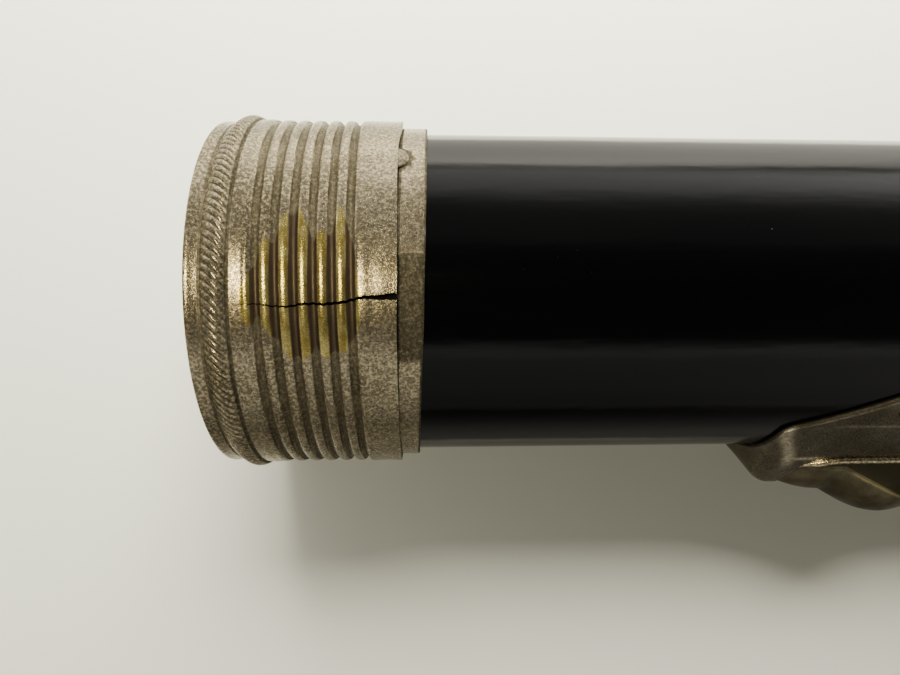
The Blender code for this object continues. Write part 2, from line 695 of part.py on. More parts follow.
def build():
    """Assemble the torch."""
    clear_scene()
    looks = {
        "nickel": surface("nickel_plate", (0.48, 0.45, 0.38), 0.32, 1.0),
        "brass": surface("brass", (0.62, 0.44, 0.18), 0.38, 1.0),
        "fibre": surface("black_fibre", (0.012, 0.012, 0.013), 0.16, 0.0),
        "steel": surface("spring_steel", (0.45, 0.45, 0.44), 0.35, 1.0),
        "zinc": surface("zinc", (0.42, 0.43, 0.45), 0.5, 1.0),
        "paper": surface("jacket_paper", (0.20, 0.07, 0.04), 0.7, 0.0),
        "pitch": surface("pitch_seal", (0.03, 0.02, 0.02), 0.4, 0.0),
        "silver": surface("silvered_reflector", (0.85, 0.85, 0.83), 0.12, 1.0),
        "solder": surface("solder", (0.6, 0.6, 0.6), 0.4, 1.0),
        "glass": surface("clear_glass", (0.85, 0.9, 0.88), 0.03, 0.0),
        "cork": surface("cork_gasket", (0.35, 0.22, 0.12), 0.9, 0.0),
    }
    case = pivot("case_frame", (0.0, 0.0, 0.0))
    cap_axis = pivot("tail_cap_axis", (0.0, 0.0, 0.0))
    ring_axis = pivot("lens_ring_axis", (LENGTH, 0.0, 0.0))
    lens_carrier = pivot("lens_carrier", (LENS_BACK, 0.0, 0.0))
    slide_axis = pivot("slide_axis", (SLIDE_START, -SLIDE_BASE, 0.0))
    button_axis = pivot("button_axis", (BUTTON_X, -BUTTON_STEM_END, 0.0))
    build_case(looks, case)
    turned("tail_cap", cap_profile(0.0), looks["nickel"], cap_axis)
    turned("spring_seat", [
        (SEAT_START, 0.0), (SEAT_START, SEAT_R), (SEAT_END, SEAT_R), (SEAT_END, 0.0),
    ], looks["brass"], cap_axis)
    build_spring(looks["steel"], cap_axis)
    for number in (1, 2):
        build_cell(number, looks, case)
    build_slide(looks["nickel"], looks["brass"], slide_axis)
    build_button(looks["nickel"], button_axis)
    build_head(looks, case, lens_carrier, ring_axis)


build()
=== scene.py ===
"""Looks of a tubular hand torch: aged nickel cap with a rolled thread, black fibre tube and slide switch.

Sizes are in millimetres and angles in degrees unless a name says otherwise.
Angles round the torch run from +Z towards +Y.
"""

import math

import bmesh
import bpy
import numpy as np
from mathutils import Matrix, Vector


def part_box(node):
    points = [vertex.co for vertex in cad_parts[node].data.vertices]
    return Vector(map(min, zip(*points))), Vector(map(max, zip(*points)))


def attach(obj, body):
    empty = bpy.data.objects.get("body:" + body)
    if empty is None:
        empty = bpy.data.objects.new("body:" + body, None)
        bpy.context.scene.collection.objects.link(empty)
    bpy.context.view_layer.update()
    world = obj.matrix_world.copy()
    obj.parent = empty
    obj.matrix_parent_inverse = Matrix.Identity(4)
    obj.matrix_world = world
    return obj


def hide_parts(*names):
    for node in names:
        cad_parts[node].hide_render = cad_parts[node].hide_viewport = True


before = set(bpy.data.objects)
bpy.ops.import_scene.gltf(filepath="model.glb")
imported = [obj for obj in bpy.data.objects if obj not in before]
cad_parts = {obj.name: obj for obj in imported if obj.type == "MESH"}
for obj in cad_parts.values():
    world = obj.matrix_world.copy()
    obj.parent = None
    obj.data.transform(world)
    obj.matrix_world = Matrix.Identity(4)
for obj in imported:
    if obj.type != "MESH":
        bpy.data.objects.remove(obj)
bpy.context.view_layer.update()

MM = 0.001
SHARP_ANGLE = math.radians(40.0)
CAD_SIDES = 36
CAD_FACET = math.cos(math.pi / CAD_SIDES)


def span(node):
    """Lowest and highest corner of a CAD node in millimetres."""
    low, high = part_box(node)
    return np.array(low) / MM, np.array(high) / MM


def middle_of(node):
    """Centre of a CAD node's box in millimetres."""
    return sum(span(node)) / 2.0


def radius_of(node):
    """Radius of a CAD piece turned about the torch's axis."""
    low, high = span(node)
    return (high[2] - low[2]) / 2.0 / CAD_FACET


# Sizes taken from the CAD frame
LENGTH = span("lens_ring")[1][0]
CAP_LENGTH = span("tail_cap")[1][0]
BEAD_R = radius_of("tail_cap")
TUBE_R = radius_of("tube")
TUBE_START = span("tube")[0][0]
TUBE_END = span("tube")[1][0]
FERRULE_R = radius_of("tail_ferrule")
FERRULE_START = span("tail_ferrule")[0][0]
FERRULE_END = span("tail_ferrule")[1][0]

# Drawn caps
SHEET = 0.3
CAP_R = BEAD_R - 0.55
FACE_R = 19.8
SHOULDER_R = 20.14
SHOULDER_ROLL = 0.22
SHOULDER_LAND = 0.52
NOTCH_R = 19.95
FACE_RECESS = 0.12
FACE_RECESS_R = 14.5
SHOULDER_END = 1.55
BEAD_END = 4.08
BAND_STEP = 5.45
BAND_STEP_DEPTH = 0.05
STRANDS = 155
STRAND_SLANT = 0.66
STRAND_DEPTH = 0.27
THREAD_PITCH = 1.762
THREAD_FIRST = 6.6
THREAD_PHASE_ANGLE = 2.3
THREAD_DEPTH = 0.5
THREAD_START = 5.8
THREAD_STOP = 16.15
SKIRT_START = 16.4
RING_OPENING_R = 15.8

# ------------------------------------------------------------------ mesh helpers


def smoothstep(low, high, value):
    """Ease from 0 at low to 1 at high."""
    share = np.clip((value - low) / (high - low), 0.0, 1.0)
    return share * share * (3.0 - 2.0 * share)


def bump(value, centre, half_width):
    """Smooth bump of height 1 at its centre, 0 beyond its half width."""
    share = np.clip(np.abs(value - centre) / half_width, 0.0, 1.0)
    return 0.5 + 0.5 * np.cos(math.pi * share)


def wobble(angle, seed, orders=(2, 3, 5, 8)):
    """Smooth periodic variation round a circle, between about -1 and 1."""
    total = np.zeros_like(angle)
    for number, order in enumerate(orders):
        phase = math.radians(137.5 * (seed + 1) * (number + 1))
        total += np.sin(order * np.radians(angle) + phase) / (number + 1.0)
    return total / 2.0


def make_piece(name, points, faces, material, body, replaced=(), slot=None):
    """Add a piece from points in millimetres, riding on a CAD body."""
    mesh = bpy.data.meshes.new(name)
    mesh.from_pydata((np.asarray(points) * MM).tolist(), [], faces)
    mesh.validate()
    mesh.shade_smooth()
    mesh.set_sharp_from_angle(angle=SHARP_ANGLE)
    mesh.materials.append(material)
    piece = bpy.data.objects.new(name, mesh)
    bpy.context.collection.objects.link(piece)
    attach(piece, body)
    if replaced:
        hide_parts(*replaced)
    return piece


def add_field(piece, name, values):
    """Store one number per point, which the material reads."""
    field = piece.data.attributes.new(name, "FLOAT", "POINT")
    field.data.foreach_set("value", np.asarray(values, dtype=np.float32).ravel())


def ring_points(along, radius, angle):
    """Points round the torch's axis from arrays of distance, radius and angle."""
    turn = np.radians(angle)
    return np.stack([along, radius * np.sin(turn), radius * np.cos(turn)], axis=-1)


def grid_faces(rows, columns, offset=0, flip=False, wrap=True, skip=None):
    """Quads of a grid of points stored row by row; skip(row, column) leaves some out."""
    faces = []
    last = columns if wrap else columns - 1
    for row in range(rows - 1):
        here = offset + row * columns
        there = here + columns
        for column in range(last):
            if skip and skip(row, column):
                continue
            after = (column + 1) % columns
            quad = (here + column, here + after, there + after, there + column)
            faces.append(quad[::-1] if flip else quad)
    return faces


def lathe(name, profile, columns, material, body, replaced=(), slot=None, closed=True):
    """Turn an outline of (along, radius) points about the torch's axis."""
    along, radius, angles = spread(np.array(profile, dtype=float), evenly(columns))
    rows = len(profile)
    points = ring_points(along, radius, angles).reshape(-1, 3)
    faces = grid_faces(rows, columns)
    last = (rows - 1) * columns
    if closed:
        for column in range(columns):
            after = (column + 1) % columns
            faces.append((last + column, last + after, after, column))
    else:
        faces.append(tuple(range(columns))[::-1])
        faces.append(tuple(range(last, last + columns)))
    return make_piece(name, points, faces, material, body, replaced, slot)


def both_walls(values):
    """One row of point values used for the outer wall and again for the inner wall."""
    flat = np.asarray(values).ravel()
    return np.concatenate([flat, flat])


def pair_of_walls(outer, inner):
    """Points of an outer wall followed by those of its inner wall."""
    return np.concatenate([outer.reshape(-1, 3), inner.reshape(-1, 3)])


def ring_wall_faces(rows, columns):
    """Faces of a ring with an outer wall, an inner wall and two flat ends."""
    half = rows * columns
    end = half - columns
    faces = grid_faces(rows, columns, 0, True) + grid_faces(rows, columns, half, False)
    for column in range(columns):
        after = (column + 1) % columns
        faces.append((end + column, end + after, half + end + after, half + end + column))
        faces.append((after, column, half + column, half + after))
    return faces


def spread(rows, angle):
    """Grids of distance, radius and angle from (along, radius) rows and column angles."""
    columns = len(angle)
    along = np.repeat(rows[:, :1], columns, axis=1)
    radius = np.repeat(rows[:, 1:], columns, axis=1)
    return along, radius, np.broadcast_to(angle, along.shape)


def evenly(columns):
    """Column angles round a full circle."""
    return np.arange(columns) * 360.0 / columns


def turned_outward(name, profile, along, turn, columns, *riding):
    """Turn an outline of (height, radius) points about a line that points outward from the torch's axis."""
    out = Vector((0.0, math.sin(turn), math.cos(turn)))
    side = Vector((1.0, 0.0, 0.0))
    across = out.cross(side)
    points = []
    for height, radius in profile:
        for a in np.radians(evenly(columns)):
            place = out * height + (side * math.cos(a) + across * math.sin(a)) * radius
            points.append((place.x + along, place.y, place.z))
    faces = grid_faces(len(profile), columns)
    faces.append(tuple(range(columns))[::-1])
    faces.append(tuple(range((len(profile) - 1) * columns, len(profile) * columns)))
    return make_piece(name, points, faces, *riding)


# ------------------------------------------------------------------ materials


class Nodes:
    """A small helper that adds and links shader nodes."""

    def __init__(self, name):
        self.material = bpy.data.materials.new(name)
        self.material.use_nodes = True
        self.tree = self.material.node_tree
        self.shader = self.tree.nodes["Principled BSDF"]
        self.place = self.tree.nodes.new("ShaderNodeTexCoord").outputs["Object"]

    def add(self, kind, **settings):
        """Add a node and set its properties."""
        node = self.tree.nodes.new(kind)
        for key, value in settings.items():
            setattr(node, key, value)
        return node

    def feed(self, socket, value):
        """Link a value or an output to a socket."""
        if isinstance(value, bpy.types.NodeSocket):
            self.tree.links.new(value, socket)
        elif isinstance(value, tuple) and socket.type == "RGBA":
            socket.default_value = (*value, 1.0)
        else:
            socket.default_value = value

    def wire(self, node, **inputs):
        """Feed several sockets of a node, by name."""
        for key, value in inputs.items():
            self.feed(node.inputs[key.replace("_", " ")], value)
        return node

    def stretch(self, scale, offset=(0.0, 0.0, 0.0)):
        """Object coordinates scaled along each axis."""
        node = self.wire(self.add("ShaderNodeMapping"), Vector=self.place, Scale=scale, Location=offset)
        return node.outputs["Vector"]

    def noise(self, scale, detail=4.0, roughness=0.6, vector=None):
        """Fractal noise, 0 to 1."""
        node = self.add("ShaderNodeTexNoise")
        self.wire(node, Vector=vector or self.place, Scale=scale, Detail=detail, Roughness=roughness)
        return node.outputs["Fac"]

    def cells(self, scale):
        """Distance field of scattered cells."""
        node = self.wire(self.add("ShaderNodeTexVoronoi"), Vector=self.place, Scale=scale)
        return node.outputs["Distance"]

    def field(self, name):
        """A number stored on the mesh's points."""
        return self.add("ShaderNodeAttribute", attribute_name=name).outputs["Fac"]

    def math(self, operation, first, second):
        """One arithmetic step."""
        node = self.add("ShaderNodeMath", operation=operation)
        self.feed(node.inputs[0], first)
        self.feed(node.inputs[1], second)
        return node.outputs[0]

    def ease(self, value, low, high, to_low=0.0, to_high=1.0):
        """Map a range smoothly onto another, clamped."""
        node = self.add("ShaderNodeMapRange", interpolation_type="SMOOTHSTEP")
        self.wire(node, Value=value, From_Min=low, From_Max=high, To_Min=to_low, To_Max=to_high)
        return node.outputs["Result"]

    def blend(self, share, first, second):
        """Mix two colours."""
        node = self.add("ShaderNodeMix", data_type="RGBA")
        self.feed(node.inputs[0], share)
        self.feed(node.inputs[6], first)
        self.feed(node.inputs[7], second)
        return node.outputs[2]

    def relief(self, height, strength, distance, under=None):
        """A bump from a height, on top of another."""
        node = self.wire(self.add("ShaderNodeBump"), Strength=strength, Distance=distance, Height=height)
        if under is not None:
            self.wire(node, Normal=under)
        return node.outputs["Normal"]

    def set(self, **inputs):
        """Feed the shader's sockets."""
        self.wire(self.shader, **inputs)


def nickel_material(name, worn_patch=False, tone=1.0, rub_and_highlight=0.0):
    """Aged nickel plate: mottled, pitted, dirty and darkened with painted shade in its grooves and hidden
    places, lightened with painted highlight where marked, worn through to brass where marked.
    """
    n = Nodes(name)
    clouds = n.noise(180.0, 5.0, 0.62)
    grain = n.noise(2300.0, 4.0, 0.75)
    speckle = n.noise(5200.0, 3.0, 0.8)
    pits = n.ease(n.cells(2600.0), 0.05, 0.16, 1.0, 0.0)
    pit_regions = n.noise(420.0, 3.0, 0.6, n.stretch((1.0, 1.0, 1.0), (0.7, 0.0, 2.0)))
    pitted = n.math("MULTIPLY", pits, n.ease(pit_regions, 0.52, 0.62))
    fleck = n.ease(n.noise(3300.0, 4.0, 0.7), 0.48, 0.58, 0.0, 0.1 if rub_and_highlight else 0.72)
    bright = (0.43 * tone, 0.375 * tone, 0.27 * tone)
    dull = (0.22 * tone, 0.19 * tone, 0.13 * tone)
    colour = n.blend(n.ease(clouds, 0.36, 0.64), dull, bright)
    for share, shade in (
        (n.ease(speckle, 0.42, 0.60, 0.0, 0.85), (0.19, 0.158, 0.10)),
        (n.ease(grain, 0.50, 0.62, 0.0, 0.65), (0.21, 0.175, 0.11)),
        (fleck, (0.72, 0.62, 0.40)),
    ):
        colour = n.blend(share, colour, tuple(part * tone for part in shade))
    if rub_and_highlight:
        # Painted highlight and rubbing wear: a lighter nickel colour where the housing's field marks its
        # folds, corner and rim.
        gain = n.math("MULTIPLY", n.field("rub_and_highlight"), n.ease(grain, 0.35, 0.6, 0.35, 1.0))
        colour = n.blend(gain, colour, (0.56 * rub_and_highlight, 0.50 * rub_and_highlight, 0.38 * rub_and_highlight))
    # The groove field carries dirt and painted shade: darker in grooves and along thread walls, at joints,
    # round rivets and under other parts.
    groove = n.field("groove")
    dirt_and_shade = n.math("MULTIPLY", n.ease(groove, 0.12, 0.62), n.ease(grain, 0.3, 0.62, 0.7, 1.0))
    roughness = n.math("ADD", n.ease(clouds, 0.3, 0.7, 0.26, 0.19), n.ease(speckle, 0.3, 0.7, -0.03, 0.1))
    dirt_and_shade_colour = (0.05, 0.043, 0.024)
    if worn_patch:
        ragged = n.math("MULTIPLY", n.math("SUBTRACT", n.noise(1100.0, 5.0, 0.75), 0.5), 5.0)
        edge = n.math("ADD", n.field("wear"), ragged)
        patch = n.ease(edge, -0.15, 0.3)
        halo = n.math("MULTIPLY", n.ease(edge, -3.0, 0.2), n.math("SUBTRACT", 1.0, patch))
        warm = n.noise(900.0, 5.0, 0.7, n.stretch((1.0, 0.45, 0.45)))
        brass = n.blend(n.ease(warm, 0.38, 0.62), (0.46, 0.365, 0.125), (0.72, 0.62, 0.27))
        brown = n.blend(n.ease(warm, 0.4, 0.66), (0.16, 0.118, 0.088), (0.20, 0.155, 0.10))
        brass = n.blend(n.ease(groove, 0.05, 0.42), brass, brown)
        brass = n.blend(n.ease(speckle, 0.45, 0.75, 0.0, 0.6), brass, (0.17, 0.12, 0.05))
        colour = n.blend(n.math("MULTIPLY", halo, 0.4), colour, (0.44, 0.36, 0.27))
        colour = n.blend(patch, colour, brass)
        dirt_and_shade = n.math("MULTIPLY", dirt_and_shade, n.math("SUBTRACT", 1.0, n.math("MULTIPLY", patch, 0.4)))
    colour = n.blend(n.math("MULTIPLY", dirt_and_shade, 0.92), colour, dirt_and_shade_colour)
    colour = n.blend(n.math("MULTIPLY", pitted, 0.75), colour, (0.09, 0.07, 0.04))
    # Painted shade: groove values above 1.1 fade the colour to near black, for hidden faces and parts under
    # other parts.
    colour = n.blend(n.ease(groove, 1.1, 1.8), colour, (0.012, 0.010, 0.008))
    roughness = n.math("ADD", roughness, n.math("MULTIPLY", dirt_and_shade, 0.42))
    n.set(Base_Color=colour, Metallic=n.ease(dirt_and_shade, 0.0, 1.0, 0.9, 0.55), Roughness=roughness)
    under = n.relief(n.noise(650.0, 5.0, 0.65), 0.3, 0.00006)
    under = n.relief(grain, 0.5, 0.00004, under)
    n.set(Normal=n.relief(speckle, 0.7, 0.00002, under))
    return n.material


def slide_material(name):
    """Tarnished nickel worn through to brass along its edges."""
    n = Nodes(name)
    clouds = n.noise(260.0, 5.0, 0.6)
    grain = n.noise(1500.0, 4.0, 0.7)
    colour = n.blend(n.ease(clouds, 0.35, 0.65), (0.135, 0.118, 0.072), (0.235, 0.205, 0.135))
    rub_and_highlight = n.math("ADD", n.field("edge_wear"), n.math("MULTIPLY", n.math("SUBTRACT", grain, 0.5), 0.9))
    colour = n.blend(n.ease(rub_and_highlight, 0.35, 0.85), colour, (0.40, 0.335, 0.17))
    n.set(
        Base_Color=colour, Metallic=1.0, Roughness=n.ease(clouds, 0.3, 0.7, 0.42, 0.32),
        Normal=n.relief(grain, 0.4, 0.00003),
    )
    return n.material


def fibre_material(name):
    """Polished black vulcanised fibre with faint drawing lines, dust and fine scratches."""
    n = Nodes(name)
    lines = n.noise(60.0, 6.0, 0.7, n.stretch((0.25, 9.0, 9.0)))
    swirl = n.noise(45.0, 4.0, 0.6, n.stretch((0.6, 2.2, 2.2)))
    dust = n.ease(n.cells(900.0), 0.03, 0.06, 1.0, 0.0)
    dusty = n.math("MULTIPLY", dust, n.ease(n.noise(90.0, 3.0), 0.56, 0.7))
    colour = n.blend(n.ease(swirl, 0.3, 0.7), (0.0006, 0.0007, 0.0009), (0.0014, 0.0014, 0.0014))
    colour = n.blend(n.math("MULTIPLY", dusty, 0.35), colour, (0.4, 0.38, 0.34))
    n.set(Base_Color=colour, Metallic=0.0, Roughness=n.ease(lines, 0.3, 0.75, 0.10, 0.2), IOR=1.46)
    height = n.relief(lines, 0.25, 0.00004)
    n.set(Normal=n.relief(swirl, 0.35, 0.0003, height))
    return n.material


def plain_look(name, first, second, roughness, metallic):
    """Mottled colour on a lightly uneven surface, of metal or of something else."""
    n = Nodes(name)
    if metallic:
        clouds, spread_low, spread_high = n.noise(700.0, 4.0, 0.6), 0.85, 1.2
        relief = n.relief(n.noise(2600.0, 3.0), 0.3, 0.00002)
    else:
        clouds, spread_low, spread_high = n.noise(500.0, 5.0, 0.65), 0.8, 1.15
        relief = n.relief(n.noise(1800.0, 4.0), 0.4, 0.00005)
    n.set(
        Base_Color=n.blend(n.ease(clouds, 0.3, 0.7), first, second), Metallic=metallic,
        Roughness=n.ease(clouds, 0.3, 0.7, roughness * spread_low, roughness * spread_high), Normal=relief,
    )
    return n.material


def glass_material(name):
    """Clear old glass, very slightly green, with faint haze."""
    n = Nodes(name)
    haze = n.noise(240.0, 4.0, 0.6)
    n.set(
        Base_Color=n.blend(n.ease(haze, 0.3, 0.8), (0.93, 0.97, 0.95), (0.88, 0.93, 0.90)),
        Metallic=0.0, Roughness=n.ease(haze, 0.5, 0.9, 0.02, 0.09), IOR=1.5, Transmission_Weight=1.0,
    )
    return n.material


# ------------------------------------------------------------------ drawn caps

CRACK_START = 4.6
CRACK_ROUTE_X = (4.2, 7.3, 8.2, 9.9, 10.8, 13.1, 14.9, 16.3, 19.8)
CRACK_ROUTE_ANGLE = (-6.7, -6.8, -7.4, -7.4, -6.7, -6.8, -6.2, -5.1, -4.75)
CRACK_GAP_X = (4.2, 7.5, 11.0, 13.5, 16.3, 19.8)
CRACK_GAP = (0.015, 0.12, 0.22, 0.27, 0.26, 0.66)
CRACK_BLEND = 9.0
PATCH_X = (5.4, 6.5, 7.3, 8.2, 9.0, 10.45, 11.0, 11.9, 13.5, 14.3, 14.8, 15.6, 16.3)
PATCH_TOP = (-3.0, 4.0, 9.5, 10.0, 16.0, 19.8, 16.0, 11.5, 12.5, 20.0, 17.0, 10.5, -3.0)
PATCH_LOW_X = (5.4, 6.3, 6.9, 8.0, 10.1, 12.3, 13.0, 14.3, 15.5, 16.1, 16.4)
PATCH_LOW = (-10.5, -13.0, -10.0, -15.5, -22.4, -19.0, -21.3, -19.6, -17.6, -13.6, -7.0)


def thread_wave(along, angle):
    """Depth share and wall share of the rolled thread, a right-hand helix with a flat-bottomed groove."""
    turns = (along - THREAD_FIRST) / THREAD_PITCH + (angle - THREAD_PHASE_ANGLE) / 360.0
    cosine = 0.5 + 0.5 * np.cos(2.0 * math.pi * turns)
    wave = 0.6 * cosine ** 1.3 + 0.4 * smoothstep(0.5, 0.95, cosine)
    wall = bump(cosine, 0.6, 0.17)
    inside = smoothstep(THREAD_START - 0.15, THREAD_START + 0.2, along) * (
        1.0 - smoothstep(THREAD_STOP - 0.3, THREAD_STOP + 0.2, along))
    return wave * inside, wall * inside


def strand_wave(along, angle):
    """Height of the rope milling on the rim bead, 0 between strands and 1 on their crests."""
    share = np.clip((along - SHOULDER_END) / (BEAD_END - SHOULDER_END), 0.0, 1.0)
    arc_shift = STRAND_SLANT * (along - SHOULDER_END) * (0.75 + 0.5 * share)
    turns = angle / 360.0 + arc_shift / (2.0 * math.pi * BEAD_R)
    across = np.mod(turns * STRANDS, 1.0) * 2.0 - 1.0
    crest = np.sqrt(np.clip(1.0 - across ** 2, 0.0, 1.0))
    return crest, np.sin(math.pi * share) ** 0.6


def cap_rows(opening_r):
    """Base outline of a drawn cap from its face to its open edge, as (along, radius) rows."""
    rows = []
    if opening_r > 0.0:
        rows += [(0.0, opening_r), (0.0, opening_r + 0.5)]
    else:
        rows += [(FACE_RECESS, r) for r in (0.3, 4.0, 8.0, 12.0, FACE_RECESS_R - 0.4)]
    rows += [(0.0, FACE_RECESS_R + 0.3), (0.0, FACE_R)] if opening_r <= 0.0 else [(0.0, FACE_R)]
    for share in np.linspace(0.0, 1.0, 7)[1:]:
        turn = math.pi / 2.0 * share
        rolled = FACE_R + (SHOULDER_R - FACE_R) * math.sin(turn)
        rows.append((SHOULDER_ROLL * (1.0 - math.cos(turn)), rolled))
    for share in np.linspace(0.0, 1.0, 7)[1:]:
        land = SHOULDER_ROLL + (SHOULDER_LAND - SHOULDER_ROLL) * share
        rows.append((land, SHOULDER_R + 0.012 * math.sin(math.pi * share)))
    for share in np.linspace(0.0, 1.0, 7)[1:]:
        slope = SHOULDER_LAND + (SHOULDER_END - SHOULDER_LAND) * share
        rows.append((slope, SHOULDER_R - (SHOULDER_R - NOTCH_R) * share ** 0.8))
    for share in np.linspace(0.0, 1.0, 19)[1:]:
        swell = (BEAD_R - CAP_R + 0.1) * math.sin(math.pi * share ** 1.2) ** 0.75
        rows.append((
            SHOULDER_END + (BEAD_END - SHOULDER_END) * share,
            NOTCH_R + (CAP_R - NOTCH_R) * share + swell,
        ))
    for along in np.arange(BEAD_END + 0.15, SKIRT_START, THREAD_PITCH / 14.0):
        rows.append((along, CAP_R))
    for along in np.linspace(SKIRT_START, CAP_LENGTH, 12):
        rows.append((along, CAP_R))
    return np.array(rows)


def crack_angles(rows, angle):
    """Column angles, drawn aside so that two neighbouring columns run along the crack's lips."""
    route = np.interp(rows, CRACK_ROUTE_X, CRACK_ROUTE_ANGLE)
    ragged = 0.12 * np.sin(rows * 9.1) + 0.08 * np.sin(rows * 23.7 + 1.0)
    route = route + ragged * smoothstep(4.5, 6.0, rows)
    gap = np.degrees(np.interp(rows, CRACK_GAP_X, CRACK_GAP) / CAP_R)
    left = int(np.argmin(np.abs(angle - CRACK_ROUTE_ANGLE[0])))
    share = smoothstep(BEAD_END, CRACK_START, rows)
    shift_low = (route - gap / 2.0 - angle[left]) * share
    shift_high = (route + gap / 2.0 - angle[left + 1]) * share
    away = np.abs(angle - CRACK_ROUTE_ANGLE[0])
    weight = 1.0 - smoothstep(0.0, CRACK_BLEND, away)
    side = np.arange(len(angle)) <= left
    shift = np.where(side[None, :], shift_low[:, None], shift_high[:, None])
    return angle[None, :] + shift * weight[None, :], left


def cap_relief(along, angles, crack):
    """How far the sheet stands out from its outline, and how far its open edge is shifted."""
    uneven = 0.035 * wobble(angles, 1) * smoothstep(BEAD_END, BEAD_END + 1.0, along)
    uneven += 0.04 * bump(along, SKIRT_START + 0.2, 0.7)
    uneven -= BAND_STEP_DEPTH * smoothstep(BAND_STEP, BAND_STEP + 0.12, along)
    lip = smoothstep(CAP_LENGTH - 1.6, CAP_LENGTH, along)
    uneven += 0.06 * lip * wobble(angles, 4, (3, 7, 11))
    edge_shift = lip * (0.06 * wobble(angles, 7, (5, 9, 17, 31)))
    if crack is not None:
        past = smoothstep(10.0, CAP_LENGTH, along)
        upper = np.arange(angles.shape[1])[None, :] > crack
        near = 1.0 - smoothstep(0.0, 14.0, np.abs(angles - CRACK_ROUTE_ANGLE[-1]))
        uneven += past * near * np.where(upper, 0.16, -0.05)
        edge_shift += lip * 0.4 * bump(angles, 62.0, 22.0)
    return uneven, edge_shift


def cap_faces(rows, columns, opened, crack):
    """Faces of a cap's two walls; a crack leaves one column open along its outer part."""
    count = len(rows)
    half = count * columns
    end = half - columns
    first = count if crack is None else int(np.argmax(rows[:, 0] >= CRACK_START))
    skip = (lambda row, column: column == crack and row >= first)
    faces = grid_faces(count, columns, 0, True, True, skip)
    faces += grid_faces(count, columns, half, False, True, skip)
    for column in range(columns):
        after = (column + 1) % columns
        if column != crack:
            faces.append((end + column, end + after, half + end + after, half + end + column))
        if opened:
            faces.append((after, column, half + column, half + after))
    if not opened:
        faces.append(tuple(range(columns)))
        faces.append(tuple(half + column for column in range(columns))[::-1])
    if crack is not None:
        for row in range(first, count - 1):
            a = row * columns + crack
            b = a + columns
            faces.append((a, b, half + b, half + a))
            faces.append((b + 1, a + 1, half + a + 1, half + b + 1))
        a = first * columns + crack
        faces.append((a + 1, a, half + a, half + a + 1))
    return faces


def patch_wear(along, angles, wave):
    """How far a place lies inside the patch that is worn through to the brass."""
    top = np.interp(along, PATCH_X, PATCH_TOP)
    low = np.interp(along, PATCH_LOW_X, PATCH_LOW)
    ends = np.minimum(along - PATCH_X[0], PATCH_LOW_X[-1] - along) * 6.0
    wear = np.minimum(np.minimum(top - angles, angles - low), ends)
    wear = np.clip(wear - 1.2 * wave + 0.6, -9.0, 9.0)
    return np.where(along < BEAD_END + 0.4, -9.0, wear)


def drawn_cap(name, material, node, opening_r, mirrored, cracked, columns_per_strand):
    """A cap drawn from thin sheet: face, shoulder, rope-milled bead, rolled thread and skirt."""
    rows = cap_rows(opening_r)
    columns = STRANDS * columns_per_strand
    angle = (np.arange(columns) + 0.5) * 360.0 / columns - 180.0
    along, base, angles = spread(rows, angle)
    crack = None
    if cracked:
        angles, crack = crack_angles(rows[:, 0], angle)
    wave, wall = thread_wave(along, angles)
    crest, fade = strand_wave(along, angles)
    in_bead = (along > SHOULDER_END) & (along < BEAD_END)
    strands = np.where(in_bead, STRAND_DEPTH * fade * (crest - 1.0), 0.0)
    uneven, edge_shift = cap_relief(along, angles, crack)
    radius = base - THREAD_DEPTH * wave + uneven
    shifted = along + edge_shift
    outer = ring_points(shifted, radius + strands, angles)
    slope_x = np.gradient(radius, axis=0)
    slope_a = np.gradient(shifted, axis=0)
    length = np.sqrt(slope_x ** 2 + slope_a ** 2) + 1e-9
    inner = ring_points(
        shifted + SHEET * slope_x / length, np.maximum(radius - SHEET * slope_a / length, 0.02), angles)
    points = pair_of_walls(outer, inner)
    faces = cap_faces(rows, columns, opening_r > 0.0, crack)
    if mirrored:
        points[:, 0] = LENGTH - points[:, 0]
        faces = [face[::-1] for face in faces]
    piece = make_piece(name, points, faces, material, node, (node,), "nickel")
    # Dirt and painted shade for the groove field: between strands, in the thread's grooves and along their
    # walls, and in dark lines at the bead's end and the shoulder's end.
    valley = np.where(in_bead, fade * (1.0 - crest) * 1.1, 0.5 * wave + 0.4 * wall)
    valley = np.maximum(valley, 0.9 * bump(along, BEAD_END + 0.05, 0.35))
    valley = np.maximum(valley, 0.6 * bump(along, SHOULDER_END - 0.1, 0.3))
    add_field(piece, "groove", both_walls(valley))
    if cracked:
        add_field(piece, "wear", both_walls(patch_wear(along, angles, wave)))


# ------------------------------------------------------------------ ferrules, tube and rivets

FERRULE_THREAD_R = 19.4
FERRULE_PLAIN = 17.2
FERRULE_SKEW = 0.5
FERRULE_COLUMNS = 360
SHADE_BAND_ANGLES = (-26.0, -19.0, 6.0, 8.0)
RIVET_SHADE_RING = (1.95, 2.2)


